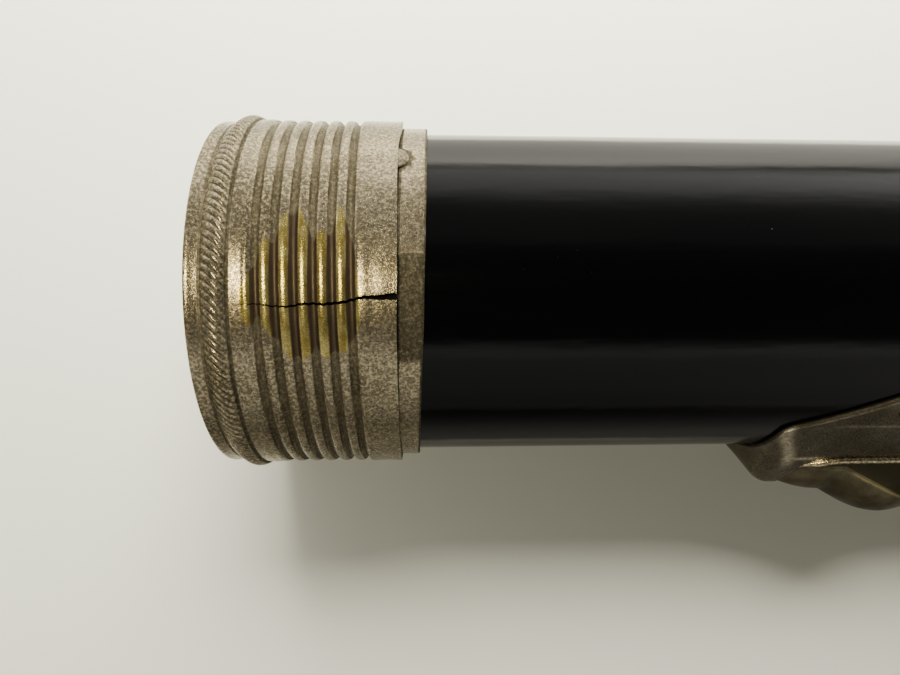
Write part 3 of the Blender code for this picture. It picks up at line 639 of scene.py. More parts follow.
def ferrule(name, material, node, mirrored):
    """A ferrule with a shallow rolled thread under the cap and a plain, slightly skewed end."""
    rows = [(FERRULE_START, FERRULE_THREAD_R)]
    rows += [(x, FERRULE_THREAD_R) for x in np.arange(FERRULE_START + 0.2, FERRULE_PLAIN - 1.0, 0.2)]
    for x in np.linspace(FERRULE_PLAIN - 0.9, FERRULE_PLAIN, 6):
        step = smoothstep(FERRULE_PLAIN - 0.8, FERRULE_PLAIN, x)
        rows.append((x, FERRULE_THREAD_R + (FERRULE_R - FERRULE_THREAD_R) * step))
    rows += [(x, FERRULE_R) for x in np.linspace(FERRULE_PLAIN + 0.4, FERRULE_END - 0.35, 10)]
    rows += [(FERRULE_END - 0.12, FERRULE_R - 0.02), (FERRULE_END, FERRULE_R - 0.12)]
    rows = np.array(rows)
    along, radius, angles = spread(rows, evenly(FERRULE_COLUMNS))
    thread = thread_wave(along, angles)[0] * 0.25
    plain = smoothstep(FERRULE_PLAIN, FERRULE_PLAIN + 1.0, along)
    radius = radius - thread + plain * (0.025 * wobble(angles, 3) - 0.03)
    tip = smoothstep(FERRULE_PLAIN, FERRULE_END, along)
    skew = FERRULE_SKEW * np.sin(np.radians(angles))
    shifted = along + tip * (skew + 0.05 * wobble(angles, 5, (4, 9, 15)))
    outer = ring_points(shifted, radius, angles)
    inner = ring_points(shifted, np.full_like(radius, TUBE_R + 0.03), angles)
    points = pair_of_walls(outer, inner)
    faces = ring_wall_faces(len(rows), FERRULE_COLUMNS)
    if mirrored:
        points[:, 0] = LENGTH - points[:, 0]
        faces = [face[::-1] for face in faces]
    piece = make_piece(name, points, faces, material, "case", (node,), "nickel")
    # Painted shade: the part under the cap goes near black. A darker line runs along the end that meets the
    # tube: grime and painted shade.
    under_cap = 1.0 - smoothstep(CAP_LENGTH - 0.1, CAP_LENGTH + 0.3, along)
    grime_and_shade = np.maximum(0.8 * bump(along, FERRULE_END, 0.35), 2.0 * under_cap)
    # Painted shade: a darker band over the ferrule beside the cap, at the angles where its reflection is
    # dark.
    shade = np.mod(angles + 180.0, 360.0) - 180.0
    painted_shade_band = 1.3 * smoothstep(*SHADE_BAND_ANGLES[:1:-1], shade) * smoothstep(*SHADE_BAND_ANGLES[:2], shade)
    grime_and_shade = np.maximum(grime_and_shade, painted_shade_band * smoothstep(CAP_LENGTH - 0.2, CAP_LENGTH, along))
    # Painted shadow and dirt: a dark ring round each rivet head.
    for mid in (middle_of(other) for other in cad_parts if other.startswith(node + "_rivet")):
        reach = mid[0] if mid[0] < LENGTH / 2.0 else LENGTH - mid[0]
        swing = np.mod(angles - math.degrees(math.atan2(mid[1], mid[2])) + 180.0, 360.0) - 180.0
        away = np.hypot(along - reach, np.radians(swing) * FERRULE_R)
        grime_and_shade = np.maximum(grime_and_shade, 1.3 * (1.0 - smoothstep(*RIVET_SHADE_RING, away)))
    add_field(piece, "groove", both_walls(grime_and_shade))
    return piece


TUBE_WALL = 1.4
TUBE_COLUMNS = 288
RIVET_TAIL = (17.05, 17.4)
RIVET_TAIL_R = 1.3
RIVET_SHANK_R = 0.75
RIVET_HEAD_R = 1.9
RIVET_RISE = 0.32
RIVET_SINK = 0.02


def tube(material):
    """The fibre tube, a little out of round along its length."""
    length = TUBE_END - TUBE_START
    rows = [TUBE_START, TUBE_START + 0.3]
    rows += list(np.linspace(TUBE_START + 2.0, TUBE_END - 2.0, 90))
    rows += [TUBE_END - 0.3, TUBE_END]
    along, radius, angles = spread(np.array([(x, TUBE_R) for x in rows]), evenly(TUBE_COLUMNS))
    turn = 2.0 * math.pi * (along - TUBE_START) / length
    radius = radius - 0.012 + 0.006 * np.sin(3.0 * np.radians(angles) + 2.0 * turn)
    radius += 0.006 * np.sin(7.0 * np.radians(angles) - 5.0 * turn)
    chamfer = np.minimum(along - TUBE_START, TUBE_END - along)
    radius -= np.clip(0.2 - chamfer, 0.0, 0.2)
    outer = ring_points(along, radius, angles)
    inner = ring_points(along, np.full_like(radius, TUBE_R - TUBE_WALL), angles)
    points = pair_of_walls(outer, inner)
    faces = ring_wall_faces(len(rows), TUBE_COLUMNS)
    shell = make_piece("tube_shell", points, faces, material, "case", ("tube",), "black_fibre")
    cut_away(shell, prism(round_outline(BUTTON_X, STEM_HOLE_R), *HOLE_THROUGH))
    return shell


def rivet(node, material):
    """A domed rivet head standing on its seat, with its shank and formed tail."""
    centre = middle_of(node)
    turn = math.atan2(centre[1], centre[2])
    seat = (FERRULE_R if "ferrule" in node else SADDLE_R) - RIVET_SINK
    profile = [(RIVET_TAIL[0], 0.01), (RIVET_TAIL[0], RIVET_TAIL_R - 0.05), (RIVET_TAIL[1], RIVET_TAIL_R)]
    profile += [(RIVET_TAIL[1], RIVET_SHANK_R), (seat, RIVET_SHANK_R), (seat, RIVET_HEAD_R - 0.06)]
    profile += [
        (seat + RIVET_SINK + RIVET_RISE * math.sin(a), RIVET_HEAD_R * math.cos(a))
        for a in np.linspace(0.12, math.pi / 2.0 - 0.01, 9)
    ]
    return turned_outward(node + "_domed", profile, centre[0], turn, 40, material, "case", (node,), "brass")


# ------------------------------------------------------------------ switch

SWITCH_START = span("switch_housing")[0][0]
SWITCH_END = span("switch_housing")[1][0]
SADDLE_R = 19.6
SADDLE_EDGE_R = 19.24
SADDLE_BORE_R = 19.04
SADDLE_END_HALF = 12.2
SADDLE_FLARE = 0.534
SADDLE_FLARE_END = 10.0
SADDLE_WIDEST_AT = 16.0
SADDLE_CORNER = 1.2
SADDLE_END_HOLLOW = 0.8
LIP_BROW = 6.0
LIP_BROW_START = (64.4, 65.2)
LIP_BROW_END = (69.5, 70.5)
RIDGE_HEIGHT = 24.8
RIDGE_SLOPE = 0.776
RIDGE_ROUND = 0.035
RIDGE_NOSE = 3.9
RIDGE_NOSE_TAPER = 0.35
RIDGE_SETBACK = 0.6
RIDGE_FOOT = math.degrees(math.atan(RIDGE_SLOPE))
SLOT_HALF_WIDTH = 5.3
SLOT_SPAN = (67.2, 99.8)
LIP_R = 0.5
LIP_RISE = (67.6, 70.2)
BUTTON_HOLE_R = 3.3
STEM_HOLE_R = 1.5
RIVET_HOLE_R = 0.9
RIVET_HOLE_SIDES = 16
HIDDEN_SHADE = 1.7
HOLE_THROUGH = (15.0, 22.0)
RIDGE_THROUGH = (15.0, 30.0)
BUTTON_X = middle_of("flash_button")[0]
HOUSING_COLUMNS = 120


def saddle_half_width(inset):
    """Half width of the saddle plate, measured round its mean radius, at a distance from its end."""
    straight = SADDLE_END_HALF + SADDLE_FLARE * np.minimum(inset, SADDLE_FLARE_END)
    tail = SADDLE_WIDEST_AT - SADDLE_FLARE_END
    past = np.clip((inset - SADDLE_FLARE_END) / tail, 0.0, 1.0)
    eased = SADDLE_FLARE * tail * (past - past ** 2 / 2.0)
    corner = np.clip(1.0 - inset / SADDLE_CORNER, 0.0, 1.0)
    return straight + eased - SADDLE_CORNER * (1.0 - np.sqrt(1.0 - corner ** 2))


def ridge_rise(inset, angle):
    """Height of the ridge over the plate; the angle is in degrees from the switch's centre line."""
    lean = np.radians(np.minimum(np.abs(angle), RIDGE_FOOT))
    radius = RIDGE_HEIGHT / (np.cos(lean) + RIDGE_SLOPE * np.sqrt(np.sin(lean) ** 2 + RIDGE_ROUND ** 2))
    rise = np.maximum(0.0, radius - SADDLE_R)
    crest = RIDGE_HEIGHT / (1.0 + RIDGE_SLOPE * RIDGE_ROUND) - SADDLE_R
    nose_length = RIDGE_NOSE * np.maximum(rise / crest, 0.01) ** RIDGE_NOSE_TAPER
    past = np.clip((inset - RIDGE_SETBACK) / nose_length, 0.0, 1.0)
    return rise * np.sqrt(1.0 - (1.0 - past) ** 2)


def switch_points(along, angle, radius):
    """Places on the switch side, at angles in degrees from the centre line towards +Z."""
    turn = np.radians(angle)
    return np.stack([along, -radius * np.cos(turn), radius * np.sin(turn)], axis=-1)


def face_outward(mesh):
    """Turn a closed mesh's faces outward, so that the cut knows its inside."""
    shape = bmesh.new()
    shape.from_mesh(mesh)
    bmesh.ops.recalc_face_normals(shape, faces=shape.faces)
    shape.to_mesh(mesh)
    shape.free()


def cut_away(piece, cutter):
    """Cut one solid out of a piece and drop the cutter."""
    face_outward(piece.data)
    face_outward(cutter.data)
    change = piece.modifiers.new("cut", "BOOLEAN")
    change.operation = "DIFFERENCE"
    change.solver = "EXACT"
    change.object = cutter
    bpy.context.view_layer.update()
    graph = bpy.context.evaluated_depsgraph_get()
    mesh = bpy.data.meshes.new_from_object(piece.evaluated_get(graph))
    piece.modifiers.clear()
    piece.data = mesh
    mesh.set_sharp_from_angle(angle=SHARP_ANGLE)
    bpy.data.objects.remove(cutter)


def prism(outline, low, high, turn=0.0):
    """Cutter from an outline of (along, side) points, pointing outward at an angle from -Y towards +Z."""
    count = len(outline)
    sine, cosine = math.sin(turn), math.cos(turn)
    points = [
        (x, side * sine - height * cosine, height * sine + side * cosine)
        for height in (low, high) for x, side in outline
    ]
    faces = [tuple(range(count)), tuple(range(2 * count - 1, count - 1, -1))]
    for i in range(count):
        after = (i + 1) % count
        faces.append((i, count + i, count + after, after))
    mesh = bpy.data.meshes.new("cutter")
    mesh.from_pydata((np.asarray(points) * MM).tolist(), [], faces)
    cutter = bpy.data.objects.new("cutter", mesh)
    bpy.context.collection.objects.link(cutter)
    return cutter


def round_outline(centre, radius, sides=40):
    """Outline of a round hole, as (along, side) points."""
    return [
        (centre + radius * math.cos(a), radius * math.sin(a))
        for a in np.arange(sides) * 2.0 * math.pi / sides
    ]


def slot_outline(margin=0.0, steps=14):
    """Round-ended outline of the slide's slot, as (along, side) points."""
    reach = SLOT_HALF_WIDTH
    ends = []
    for centre, start in ((SLOT_SPAN[1] - reach, -90.0), (SLOT_SPAN[0] + reach, 90.0)):
        for angle in np.linspace(start, start + 180.0, steps + 1):
            turn = math.radians(angle)
            ends.append((centre + (reach + margin) * math.cos(turn), (reach + margin) * math.sin(turn)))
    return ends


def dense_loop(outline, step):
    """Closed outline with points at about equal distances."""
    loop = np.array(outline + outline[:1])
    lengths = np.concatenate([[0.0], np.cumsum(np.hypot(*np.diff(loop, axis=0).T))])
    count = int(lengths[-1] / step)
    places = np.arange(count) * lengths[-1] / count
    return np.stack([np.interp(places, lengths, loop[:, k]) for k in (0, 1)], axis=-1)


def housing_height(along, side):
    """Height of the housing's outer face over the torch's axis at (along, side)."""
    inset = np.minimum(along - SWITCH_START, SWITCH_END - along)
    radius = np.full_like(along, SADDLE_R)
    for _ in range(12):
        angle = np.degrees(np.arcsin(np.clip(side / radius, -1.0, 1.0)))
        radius = SADDLE_R + ridge_rise(inset, angle)
    return np.sqrt(np.maximum(radius ** 2 - side ** 2, 0.0))


def plate_faces(rows, columns):
    """Faces of a curved plate with an outer wall, an inner wall and an edge on its four sides."""
    half = rows * columns
    last = half - columns
    faces = grid_faces(rows, columns, 0, True, False) + grid_faces(rows, columns, half, False, False)
    for column in range(columns - 1):
        end = last + column
        faces.append((column + 1, column, half + column, half + column + 1))
        faces.append((end, end + 1, half + end + 1, half + end))
    for row in range(rows - 1):
        a = row * columns
        b = a + columns
        faces.append((a, b, half + b, half + a))
        a += columns - 1
        b += columns - 1
        faces.append((b, a, half + a, half + b))
    return faces


def housing_rub_and_highlight(along, inset, angles, rise):
    """How far the housing's plate is lightened by rubbing wear and painted highlight: on its folds, its
    first corner and its rim.
    """
    lean = np.abs(angles)
    fold = bump(lean, RIDGE_FOOT + 0.4, 0.9) * smoothstep(4.5, 8.5, inset)
    corner_route = RIDGE_SETBACK + 3.7 - 3.9 * smoothstep(10.0, RIDGE_FOOT, lean)
    corner = bump(inset, corner_route, 1.3) * smoothstep(9.0, 16.0, lean) * (lean < RIDGE_FOOT)
    flange = smoothstep(RIDGE_FOOT, RIDGE_FOOT + 2.0, lean) * smoothstep(6.0, 22.0, inset)
    across = (SADDLE_R + rise) * np.sin(np.radians(lean))
    brow = smoothstep(*LIP_BROW_START, along) * (1.0 - smoothstep(*LIP_BROW_END, along))
    brow = brow * bump(across, LIP_BROW, 0.5)
    return np.maximum(np.maximum(0.7 * fold, corner), np.maximum(0.3 * flange, brow))


def switch_housing(material):
    """Saddle plate with its ridge, its slot and the holes for button and rivets."""
    ends = list(np.linspace(0.0, 1.4, 10)) + list(np.arange(1.7, SADDLE_WIDEST_AT, 0.35))
    middle = np.arange(SWITCH_START + SADDLE_WIDEST_AT, SWITCH_END - SADDLE_WIDEST_AT + 0.1, 0.55)
    stations = [SWITCH_START + inset for inset in ends] + list(middle)
    stations += [SWITCH_END - inset for inset in reversed(ends)]
    stations = np.array(stations)
    inset = np.minimum(stations - SWITCH_START, SWITCH_END - stations)[:, None]
    half_width = saddle_half_width(inset)
    share = np.linspace(-1.0, 1.0, HOUSING_COLUMNS + 1)[None, :]
    angles = np.degrees(half_width / SADDLE_R) * share
    along = np.repeat(stations[:, None], HOUSING_COLUMNS + 1, axis=1)
    to_edge = np.minimum((1.0 - np.abs(share)) * half_width, inset)
    rounding = (SADDLE_R - SADDLE_EDGE_R) * np.clip(1.0 - to_edge / 0.45, 0.0, 1.0) ** 1.5
    crease = 0.07 * bump(np.abs(angles), RIDGE_FOOT + 0.5, 1.3) * smoothstep(4.0, 9.0, inset)
    dents = 0.03 * np.sin(along * 0.9 + 2.0 * share) * np.sin(angles * 0.14) * smoothstep(2.0, 8.0, inset)
    rise = ridge_rise(inset, angles)
    hollow = SADDLE_END_HOLLOW * bump(angles, 0.0, 26.0) * (1.0 - smoothstep(0.0, 4.0, inset))
    placed = along + np.where(along < (SWITCH_START + SWITCH_END) / 2.0, hollow, -hollow)
    outer = switch_points(placed, angles, SADDLE_R + rise + crease + dents - rounding)
    inner = switch_points(placed, angles, SADDLE_BORE_R + np.maximum(rise - 0.02, 0.0))
    piece = make_piece(
        "switch_housing_pressed", pair_of_walls(outer, inner), plate_faces(*along.shape), material,
        "case", ("switch_housing",), "nickel")
    # Painted highlight and rubbing wear on the folds, the first corner and the rim.
    add_field(piece, "rub_and_highlight", both_walls(housing_rub_and_highlight(along, inset, angles, rise)))
    # Painted shade: the plate's edges and its whole inner wall are made near black.
    rim = HIDDEN_SHADE * (1.0 - smoothstep(0.05, 0.25, to_edge))
    add_field(piece, "groove", np.concatenate([rim.ravel(), np.full(rim.size, HIDDEN_SHADE)]))
    for outline in (slot_outline(0.02), round_outline(BUTTON_X, BUTTON_HOLE_R)):
        cut_away(piece, prism(outline, *RIDGE_THROUGH))
    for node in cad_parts:
        if node.startswith("housing_rivet"):
            x, y, z = middle_of(node)
            hole = round_outline(x, RIVET_HOLE_R, RIVET_HOLE_SIDES)
            cut_away(piece, prism(hole, *HOLE_THROUGH, math.atan2(z, -y)))


def slot_lip(material):
    """The lip turned up round the slide's slot; at its tail end it sinks into the plate."""
    outline = dense_loop(slot_outline(LIP_R * 0.9, 30), 0.3)
    height = housing_height(outline[:, 0], outline[:, 1])
    sunk = 1.6 * LIP_R * (1.0 - smoothstep(*LIP_RISE, outline[:, 0]))
    path = np.stack([outline[:, 0], sunk - height - 0.05, outline[:, 1]], axis=-1)
    sweep("slot_lip", path, LIP_R, 14, material, "case", ("switch_housing",), "nickel")


def sweep(name, path, radius, sides, *riding):
    """A round bead swept along a closed path."""
    count = len(path)
    forward = np.roll(path, -1, axis=0) - np.roll(path, 1, axis=0)
    forward /= np.linalg.norm(forward, axis=1)[:, None]
    up = np.array([0.0, -1.0, 0.0])
    across = np.cross(forward, up)
    across /= np.linalg.norm(across, axis=1)[:, None]
    upright = np.cross(across, forward)
    points = []
    for step in range(count):
        for side in range(sides):
            a = 2.0 * math.pi * side / sides
            points.append(path[step] + radius * (math.cos(a) * across[step] + math.sin(a) * upright[step]))
    faces = []
    for step in range(count):
        here = step * sides
        there = (step + 1) % count * sides
        for side in range(sides):
            after = (side + 1) % sides
            faces.append((here + side, here + after, there + after, there + side))
    return make_piece(name, points, faces, *riding)


SLIDE_START, SLIDE_END = (corner[0] for corner in span("switch_slide"))
SLIDE_HALF_WIDTH = 5.0
SLIDE_BASE = 19.75
SLIDE_SHELF = 25.0
SLIDE_TIP = 23.9
SLIDE_CREST = 28.0
SLIDE_WALL_LOW = 21.6
SLIDE_WALL_HIGH = 25.2
SLIDE_RAMP_START = 5.5
SLIDE_WALL_RAMP_START = 6.0
SLIDE_EDGE = 0.3
SLIDE_STATIONS = 110
SLIDE_CROWN_POINTS = 36
SLIDE_EDGE_POINT = 4.5
SLIDE_WEAR_REACH = (1.7, 12.0)


def switch_slide(material):
    """Thumb slide: flat base, side walls and a crowned top that swells into a hump."""
    length = SLIDE_END - SLIDE_START
    middle = length / 2.0
    points = []
    wear = []
    for station in range(SLIDE_STATIONS):
        share = station / (SLIDE_STATIONS - 1)
        along = 0.02 + (length - 0.04) * (1.0 - math.cos(math.pi * share)) / 2.0
        inset = min(along, length - along)
        end = max(0.0, 1.0 - inset / SLIDE_HALF_WIDTH)
        half = SLIDE_HALF_WIDTH * math.sqrt(max(1.0 - end ** 2, 0.0004))
        rise = max(0.0, (inset - SLIDE_RAMP_START) / (middle - SLIDE_RAMP_START))
        crest = SLIDE_SHELF - (SLIDE_SHELF - SLIDE_TIP) * end ** 2
        crest += (SLIDE_CREST - SLIDE_SHELF) * math.sin(math.pi / 2.0 * rise)
        climb = max(0.0, (inset - SLIDE_WALL_RAMP_START) / (middle - SLIDE_WALL_RAMP_START))
        wall = SLIDE_WALL_LOW + (SLIDE_WALL_HIGH - SLIDE_WALL_LOW) * climb
        edge = min(SLIDE_EDGE, half * 0.3)
        side = [(half, SLIDE_BASE), (half, (SLIDE_BASE + wall) / 2.0)]
        for a in (0.0, 30.0, 60.0):
            side.append((
                half - edge + edge * math.cos(math.radians(a)),
                wall - edge + edge * math.sin(math.radians(a))))
        top = []
        for across in np.linspace(1.0, -1.0, SLIDE_CROWN_POINTS + 1):
            top.append(((half - edge * 0.5) * across, wall + (crest - wall) * (1.0 - across ** 2)))
        section = side + top + [(-x, y) for x, y in reversed(side)]
        points += [(SLIDE_START + along, -height, z) for z, height in section]
        hump = smoothstep(0.0, 0.25, climb)
        for k in range(len(section)):
            near = min(abs(k - SLIDE_EDGE_POINT), abs(len(section) - 1 - k - SLIDE_EDGE_POINT))
            edge_wear, wide_wear = (max(0.0, 1.0 - near / reach) for reach in SLIDE_WEAR_REACH)
            wear.append(hump * (edge_wear + 0.25 * wide_wear))
    columns = len(section)
    faces = grid_faces(SLIDE_STATIONS, columns, 0, True)
    faces.append(tuple(range(columns)))
    faces.append(tuple(range((SLIDE_STATIONS - 1) * columns, SLIDE_STATIONS * columns))[::-1])
    body = "switch_slide"
    piece = make_piece("switch_slide_pressed", points, faces, material, body, (body,), "worn_nickel")
    add_field(piece, "edge_wear", wear)


BUTTON_R = 3.0
BUTTON_STEM_R = 0.9
BUTTON_STEM_END = 18.45
BUTTON_FLANGE_R = 3.7
BUTTON_FLANGE = (20.2, 20.6)
BUTTON_SHOULDER_DROP = 1.0
BUTTON_ROUND = 0.7


def flash_button(material):
    """Flash button with a domed, slightly dished top, its flange and contact stem."""
    top = -span("flash_button")[0][1]
    shoulder = top - BUTTON_SHOULDER_DROP
    low, high = BUTTON_FLANGE
    profile = [(BUTTON_STEM_END, 0.05), (BUTTON_STEM_END, BUTTON_STEM_R), (low, BUTTON_STEM_R)]
    profile += [(low, BUTTON_FLANGE_R), (high, BUTTON_FLANGE_R), (high, BUTTON_R), (shoulder, BUTTON_R)]
    profile += [
        (shoulder + BUTTON_ROUND * math.sin(a), BUTTON_R - BUTTON_ROUND * (1.0 - math.cos(a)))
        for a in np.linspace(0.2, 1.5, 8)
    ]
    profile += [(top - 0.3 + 0.3 * math.cos(r * 0.7), r) for r in (1.7, 1.2, 0.7, 0.3, 0.05)]
    body = "flash_button"
    turned_outward(
        "flash_button_domed", profile, BUTTON_X, -math.pi / 2.0, 56, material, body, (body,), "worn_nickel")


# ------------------------------------------------------------------ lens end

LENS_EDGE = 1.7
LENS_OPEN_R = 15.6
MIRROR_FOCUS = 4.62
MIRROR_VERTEX = 147.4
MIRROR_NECK_R = 6.2
MIRROR_RIM_R = 16.8
MIRROR_FLANGE = 163.9
MIRROR_SHEET = 0.5
GASKET_BORE_R = 16.0


def outline_of(node):
    """Distinct (along, radius) extent of a turned CAD node."""
    low, high = span(node)
    return low[0], high[0], radius_of(node)


def lens(material):
    """Plano-convex lens."""
    back, crown, lens_r = outline_of("lens")
    edge = back + LENS_EDGE
    sagitta = crown - edge
    sphere = (LENS_OPEN_R ** 2 + sagitta ** 2) / (2.0 * sagitta)
    profile = [(back, 0.02), (back, lens_r - 0.15), (back + 0.15, lens_r), (edge, lens_r)]
    profile += [
        (crown - sphere + math.sqrt(sphere ** 2 - r ** 2), r)
        for r in np.linspace(LENS_OPEN_R, 0.02, 40)
    ]
    lathe("lens_polished", profile, 144, material, "lens_carrier", ("lens",), "glass", False)


def reflector(material):
    """Parabolic reflector spun from sheet, with a flange at its rim."""
    rim, front, sheet = MIRROR_RIM_R, MIRROR_FLANGE, MIRROR_SHEET
    bowl = [(MIRROR_VERTEX + r ** 2 / (4.0 * MIRROR_FOCUS), r) for r in np.linspace(MIRROR_NECK_R, rim, 60)]
    flange_r = radius_of("reflector")
    profile = bowl[:-1] + [(front, rim), (front, flange_r), (front - sheet, flange_r)]
    profile += [(front - sheet, rim + sheet)] + [(x - sheet, r + sheet) for x, r in bowl[-2::-1]]
    lathe("reflector_spun", profile, 180, material, "case", ("reflector",), "silvered")


def lens_gasket(material):
    """Cork ring behind the lens."""
    start, end, cork_r = outline_of("lens_gasket")
    profile = [(start, GASKET_BORE_R), (start + 0.1, cork_r), (end - 0.08, cork_r)]
    profile += [(end, cork_r - 0.1), (end, GASKET_BORE_R + 0.05)]
    lathe("lens_gasket_pressed", profile, 144, material, "lens_carrier", ("lens_gasket",), "gasket")


# ------------------------------------------------------------------ floor, light and camera

FLOOR_HALF = 1.6
FLOOR_LEVEL = -BEAD_R * MM
FLOOR_COLOUR = (0.80, 0.79, 0.655)
CARD_HALF = 0.5
CARD_LIFT = 0.0003
CARD_NEAR = 0.045
CARD_FAR = 0.9
WINDOW_CONE = 140.0
WINDOW_SOFTNESS = 0.1


def stage_sheet(name, low, high, level, colour, roughness):
    """A flat sheet that belongs to the stage, between two (x, y) corners."""
    mesh = bpy.data.meshes.new(name)
    corners = ((low[0], low[1]), (high[0], low[1]), (high[0], high[1]), (low[0], high[1]))
    mesh.from_pydata([(x, y, level) for x, y in corners], [], [(0, 1, 2, 3)])
    n = Nodes(name)
    n.set(Base_Color=colour, Roughness=roughness)
    mesh.materials.append(n.material)
    sheet = bpy.data.objects.new(name, mesh)
    bpy.context.collection.objects.link(sheet)
    return sheet


def reflection_card(name, low, high, albedo):
    """A card on the floor between two distances along Y, which only reflections see; darker than the floor,
    it puts painted shade into the reflections.
    """
    colour = (albedo, albedo * 0.98, albedo * 0.9)
    card = stage_sheet(name, (-CARD_HALF, low), (CARD_HALF, high), FLOOR_LEVEL + CARD_LIFT, colour, 0.9)
    for sight in ("visible_camera", "visible_diffuse", "visible_shadow", "visible_transmission"):
        setattr(card, sight, False)


def hang(data, place, aim, power, colour, glossy):
    """Put a light in its place, aimed at a point."""
    data.energy = power
    data.color = colour
    lamp = bpy.data.objects.new(data.name, data)
    lamp.location = place
    lamp.rotation_euler = (Vector(aim) - Vector(place)).to_track_quat("-Z", "Y").to_euler()
    lamp.visible_glossy = glossy
    bpy.context.collection.objects.link(lamp)
    return lamp


def area_light(name, place, aim, size, power, colour, glossy=False):
    """A square soft light."""
    data = bpy.data.lights.new(name, "AREA")
    data.shape = "SQUARE"
    data.size = size
    return hang(data, place, aim, power, colour, glossy)


def lights():
    """A warm ceiling lamp that metal mirrors, a window beam falling off towards -Y and two faint fills."""
    warm = (1.0, 0.89, 0.62)
    lamp = area_light("ceiling_lamp", (-0.17, 0.06, 0.60), (0.01, 0.0, 0.0), 0.12, 1.5, warm, True)
    lamp.visible_diffuse = False
    window = bpy.data.lights.new("window", "SPOT")
    window.spot_size = math.radians(WINDOW_CONE)
    window.spot_blend = 1.0
    window.shadow_soft_size = WINDOW_SOFTNESS
    hang(window, (0.04, 0.235, 0.205), (0.05, 0.235, -0.02), 19.5, (1.0, 0.985, 0.95), False)
    area_light("far_wash", (0.0, 0.9, 0.5), (0.0, 0.8, 0.0), 0.8, 5.0, (1.0, 0.99, 0.96))
    area_light("fill", (-0.09, -0.085, 0.06), (0.0, -0.04, -0.02), 0.06, 0.045, (1.0, 0.97, 0.92))


# Angle from overhead towards +Y, and how bright the room is there
ROOM_STOPS = (
    (-180.0, 0.3), (-84.0, 0.3), (-73.0, 0.4), (-50.0, 0.5), (-46.0, 0.68), (-44.0, 0.7), (-41.0, 0.5),
    (-36.0, 0.1), (0.0, 0.08), (25.0, 0.12), (32.0, 0.25), (50.0, 0.28), (55.0, 0.33), (60.0, 0.45),
    (65.0, 0.75), (70.0, 1.1), (75.0, 1.4), (90.0, 1.5), (120.0, 1.4), (180.0, 0.3),
)
ROOM_BRIGHTEST = 2.0


def room():
    """Soft room light: a bright side towards +Y, a dim side towards -Y and a dark middle overhead."""
    world = bpy.data.worlds.new("room")
    bpy.context.scene.world = world
    world.use_nodes = True
    tree = world.node_tree
    coordinates, split, turn, share, ramp, strength = (
        tree.nodes.new("ShaderNode" + kind)
        for kind in ("TexCoord", "SeparateXYZ", "Math", "MapRange", "FloatCurve", "Math")
    )
    turn.operation = "ARCTAN2"
    share.inputs["From Min"].default_value = -math.pi
    share.inputs["From Max"].default_value = math.pi
    strength.operation = "MULTIPLY"
    strength.inputs[1].default_value = ROOM_BRIGHTEST
    curve = ramp.mapping.curves[0]
    stops = [((angle + 180.0) / 360.0, light / ROOM_BRIGHTEST) for angle, light in ROOM_STOPS]
    curve.points[0].location = stops[0]
    curve.points[1].location = stops[-1]
    for stop in stops[1:-1]:
        curve.points.new(*stop)
    for point in curve.points:
        point.handle_type = "VECTOR"
    ramp.mapping.update()
    background = tree.nodes["Background"]
    background.inputs["Color"].default_value = (1.0, 0.985, 0.94, 1.0)
    for source, target in (
        (coordinates.outputs["Generated"], split.inputs[0]), (split.outputs["Y"], turn.inputs[0]),
        (split.outputs["Z"], turn.inputs[1]), (turn.outputs[0], share.inputs["Value"]),
        (share.outputs["Result"], ramp.inputs["Value"]), (ramp.outputs[0], strength.inputs[0]),
        (strength.outputs[0], background.inputs["Strength"]),
    ):
        tree.links.new(source, target)


CAMERA_PLACE = (0.021805, -0.005505, 0.078388)
CAMERA_TURN = (0.0077, -2.797, -0.157)
CAMERA_LENS = 24.96


def camera():
    """Camera close above the tail end, leaning slightly towards the lens end."""
    data = bpy.data.cameras.new("camera")
    data.sensor_width = 36.0
    data.lens = CAMERA_LENS
    data.clip_start = 0.005
    item = bpy.data.objects.new("camera", data)
    item.location = CAMERA_PLACE
    item.rotation_euler = [math.radians(a) for a in CAMERA_TURN]
    bpy.context.collection.objects.link(item)
    bpy.context.scene.camera = item


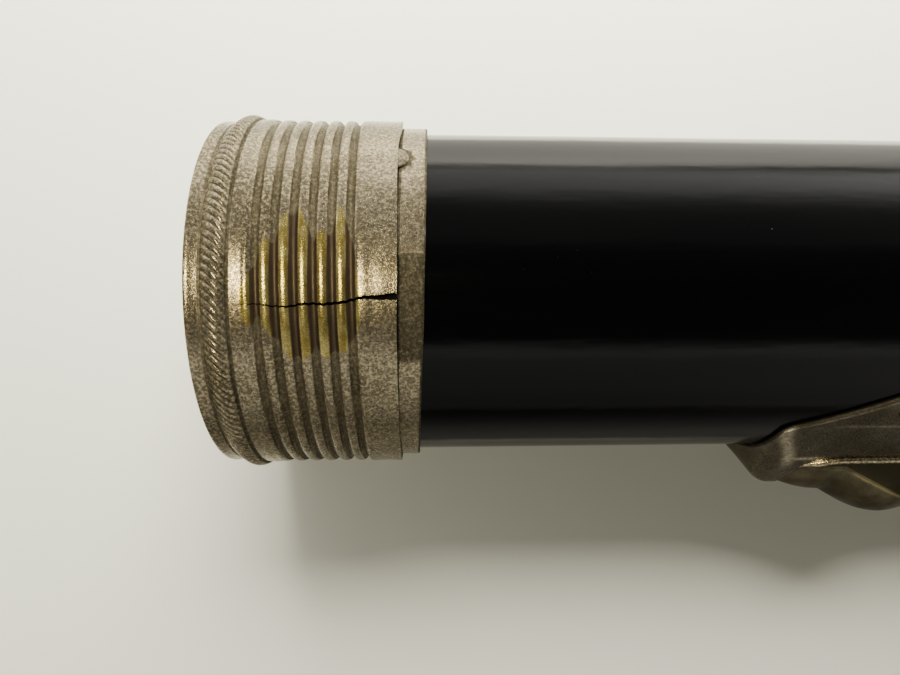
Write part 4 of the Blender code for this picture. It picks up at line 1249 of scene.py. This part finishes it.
# Name, two colours, roughness and metallic of each plain look
PLAIN_LOOKS = {
    "brass": ("dull_brass", (0.50, 0.35, 0.13), (0.66, 0.50, 0.24), 0.36, 1.0),
    "steel": ("drawn_steel", (0.38, 0.38, 0.37), (0.55, 0.55, 0.54), 0.3, 1.0),
    "zinc": ("zinc_sheet", (0.36, 0.37, 0.39), (0.5, 0.51, 0.53), 0.5, 1.0),
    "silver": ("silvered_plate", (0.86, 0.86, 0.84), (0.93, 0.93, 0.91), 0.08, 1.0),
    "paper": ("jacket_paper_grain", (0.17, 0.06, 0.035), (0.24, 0.09, 0.05), 0.7, 0.0),
    "pitch": ("poured_pitch", (0.02, 0.015, 0.012), (0.05, 0.035, 0.03), 0.4, 0.0),
    "cork": ("pressed_cork", (0.28, 0.17, 0.09), (0.42, 0.28, 0.16), 0.9, 0.0),
}
INNER_LOOKS = {
    "brass": (
        "spring_seat", "tail_contact_strip", "head_contact_strip", "centre_contact", "bulb_socket",
        "bulb_base", "slide_guide_plate", "slide_contact_shoe", "cell_1_pole", "cell_2_pole",
    ),
    "steel": ("tail_spring", "bulb_tip", "bulb_filament"),
    "fibre": ("contact_disc",),
    "zinc": ("cell_1_can", "cell_2_can"),
    "paper": ("cell_1_jacket", "cell_2_jacket"),
    "pitch": ("cell_1_seal", "cell_2_seal"),
    "glass": ("bulb_glass",),
}


def dress_inner_nodes(looks):
    """Give each CAD piece that stays visible a procedural material."""
    for look, nodes in INNER_LOOKS.items():
        for node in nodes:
            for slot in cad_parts[node].material_slots:
                slot.material = looks[look]


def build():
    """Build every piece."""
    scene = bpy.context.scene
    scene.view_settings.view_transform = "AgX"
    scene.view_settings.look = "AgX - Medium High Contrast"
    camera()
    room()
    far_corner = (FLOOR_HALF, FLOOR_HALF)
    stage_sheet("floor", (-FLOOR_HALF, -FLOOR_HALF), far_corner, FLOOR_LEVEL, FLOOR_COLOUR, 0.7)
    reflection_card("near_card", -CARD_FAR, -CARD_NEAR, 0.24)
    reflection_card("far_card", CARD_NEAR, CARD_FAR, 0.36)
    lights()
    looks = {
        "cap": nickel_material("worn_cap_plate", True),
        "nickel": nickel_material("aged_nickel_plate"),
        # Darker tone on the switch: tarnish and painted shade.
        "switch": nickel_material("tarnished_and_shaded_switch_plate", tone=0.57, rub_and_highlight=1.6),
        # Darker tone on the ferrule rivets: dull plating and painted shade.
        "rivet": nickel_material("dull_and_shaded_rivet_plate", tone=0.6),
        # Lighter tone on the slot's lip: rubbing wear and painted highlight.
        "lip": nickel_material("worn_and_highlit_lip_plate", tone=1.38),
        "slide": slide_material("slide_plate"),
        "fibre": fibre_material("black_fibre_polish"),
        "glass": glass_material("old_clear_glass"),
    }
    for key, settings in PLAIN_LOOKS.items():
        looks[key] = plain_look(*settings)
    dress_inner_nodes(looks)
    drawn_cap("tail_cap_drawn", looks["cap"], "tail_cap", 0.0, False, True, 8)
    drawn_cap("lens_ring_drawn", looks["nickel"], "lens_ring", RING_OPENING_R, True, False, 6)
    ferrule("tail_ferrule_rolled", looks["nickel"], "tail_ferrule", False)
    ferrule("head_ferrule_rolled", looks["nickel"], "head_ferrule", True)
    tube(looks["fibre"])
    switch_housing(looks["switch"])
    slot_lip(looks["lip"])
    switch_slide(looks["slide"])
    flash_button(looks["slide"])
    lens(looks["glass"])
    reflector(looks["silver"])
    lens_gasket(looks["cork"])
    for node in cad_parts:
        if "_rivet_" in node:
            rivet(node, looks["rivet"] if "ferrule" in node else looks["switch"])


build()
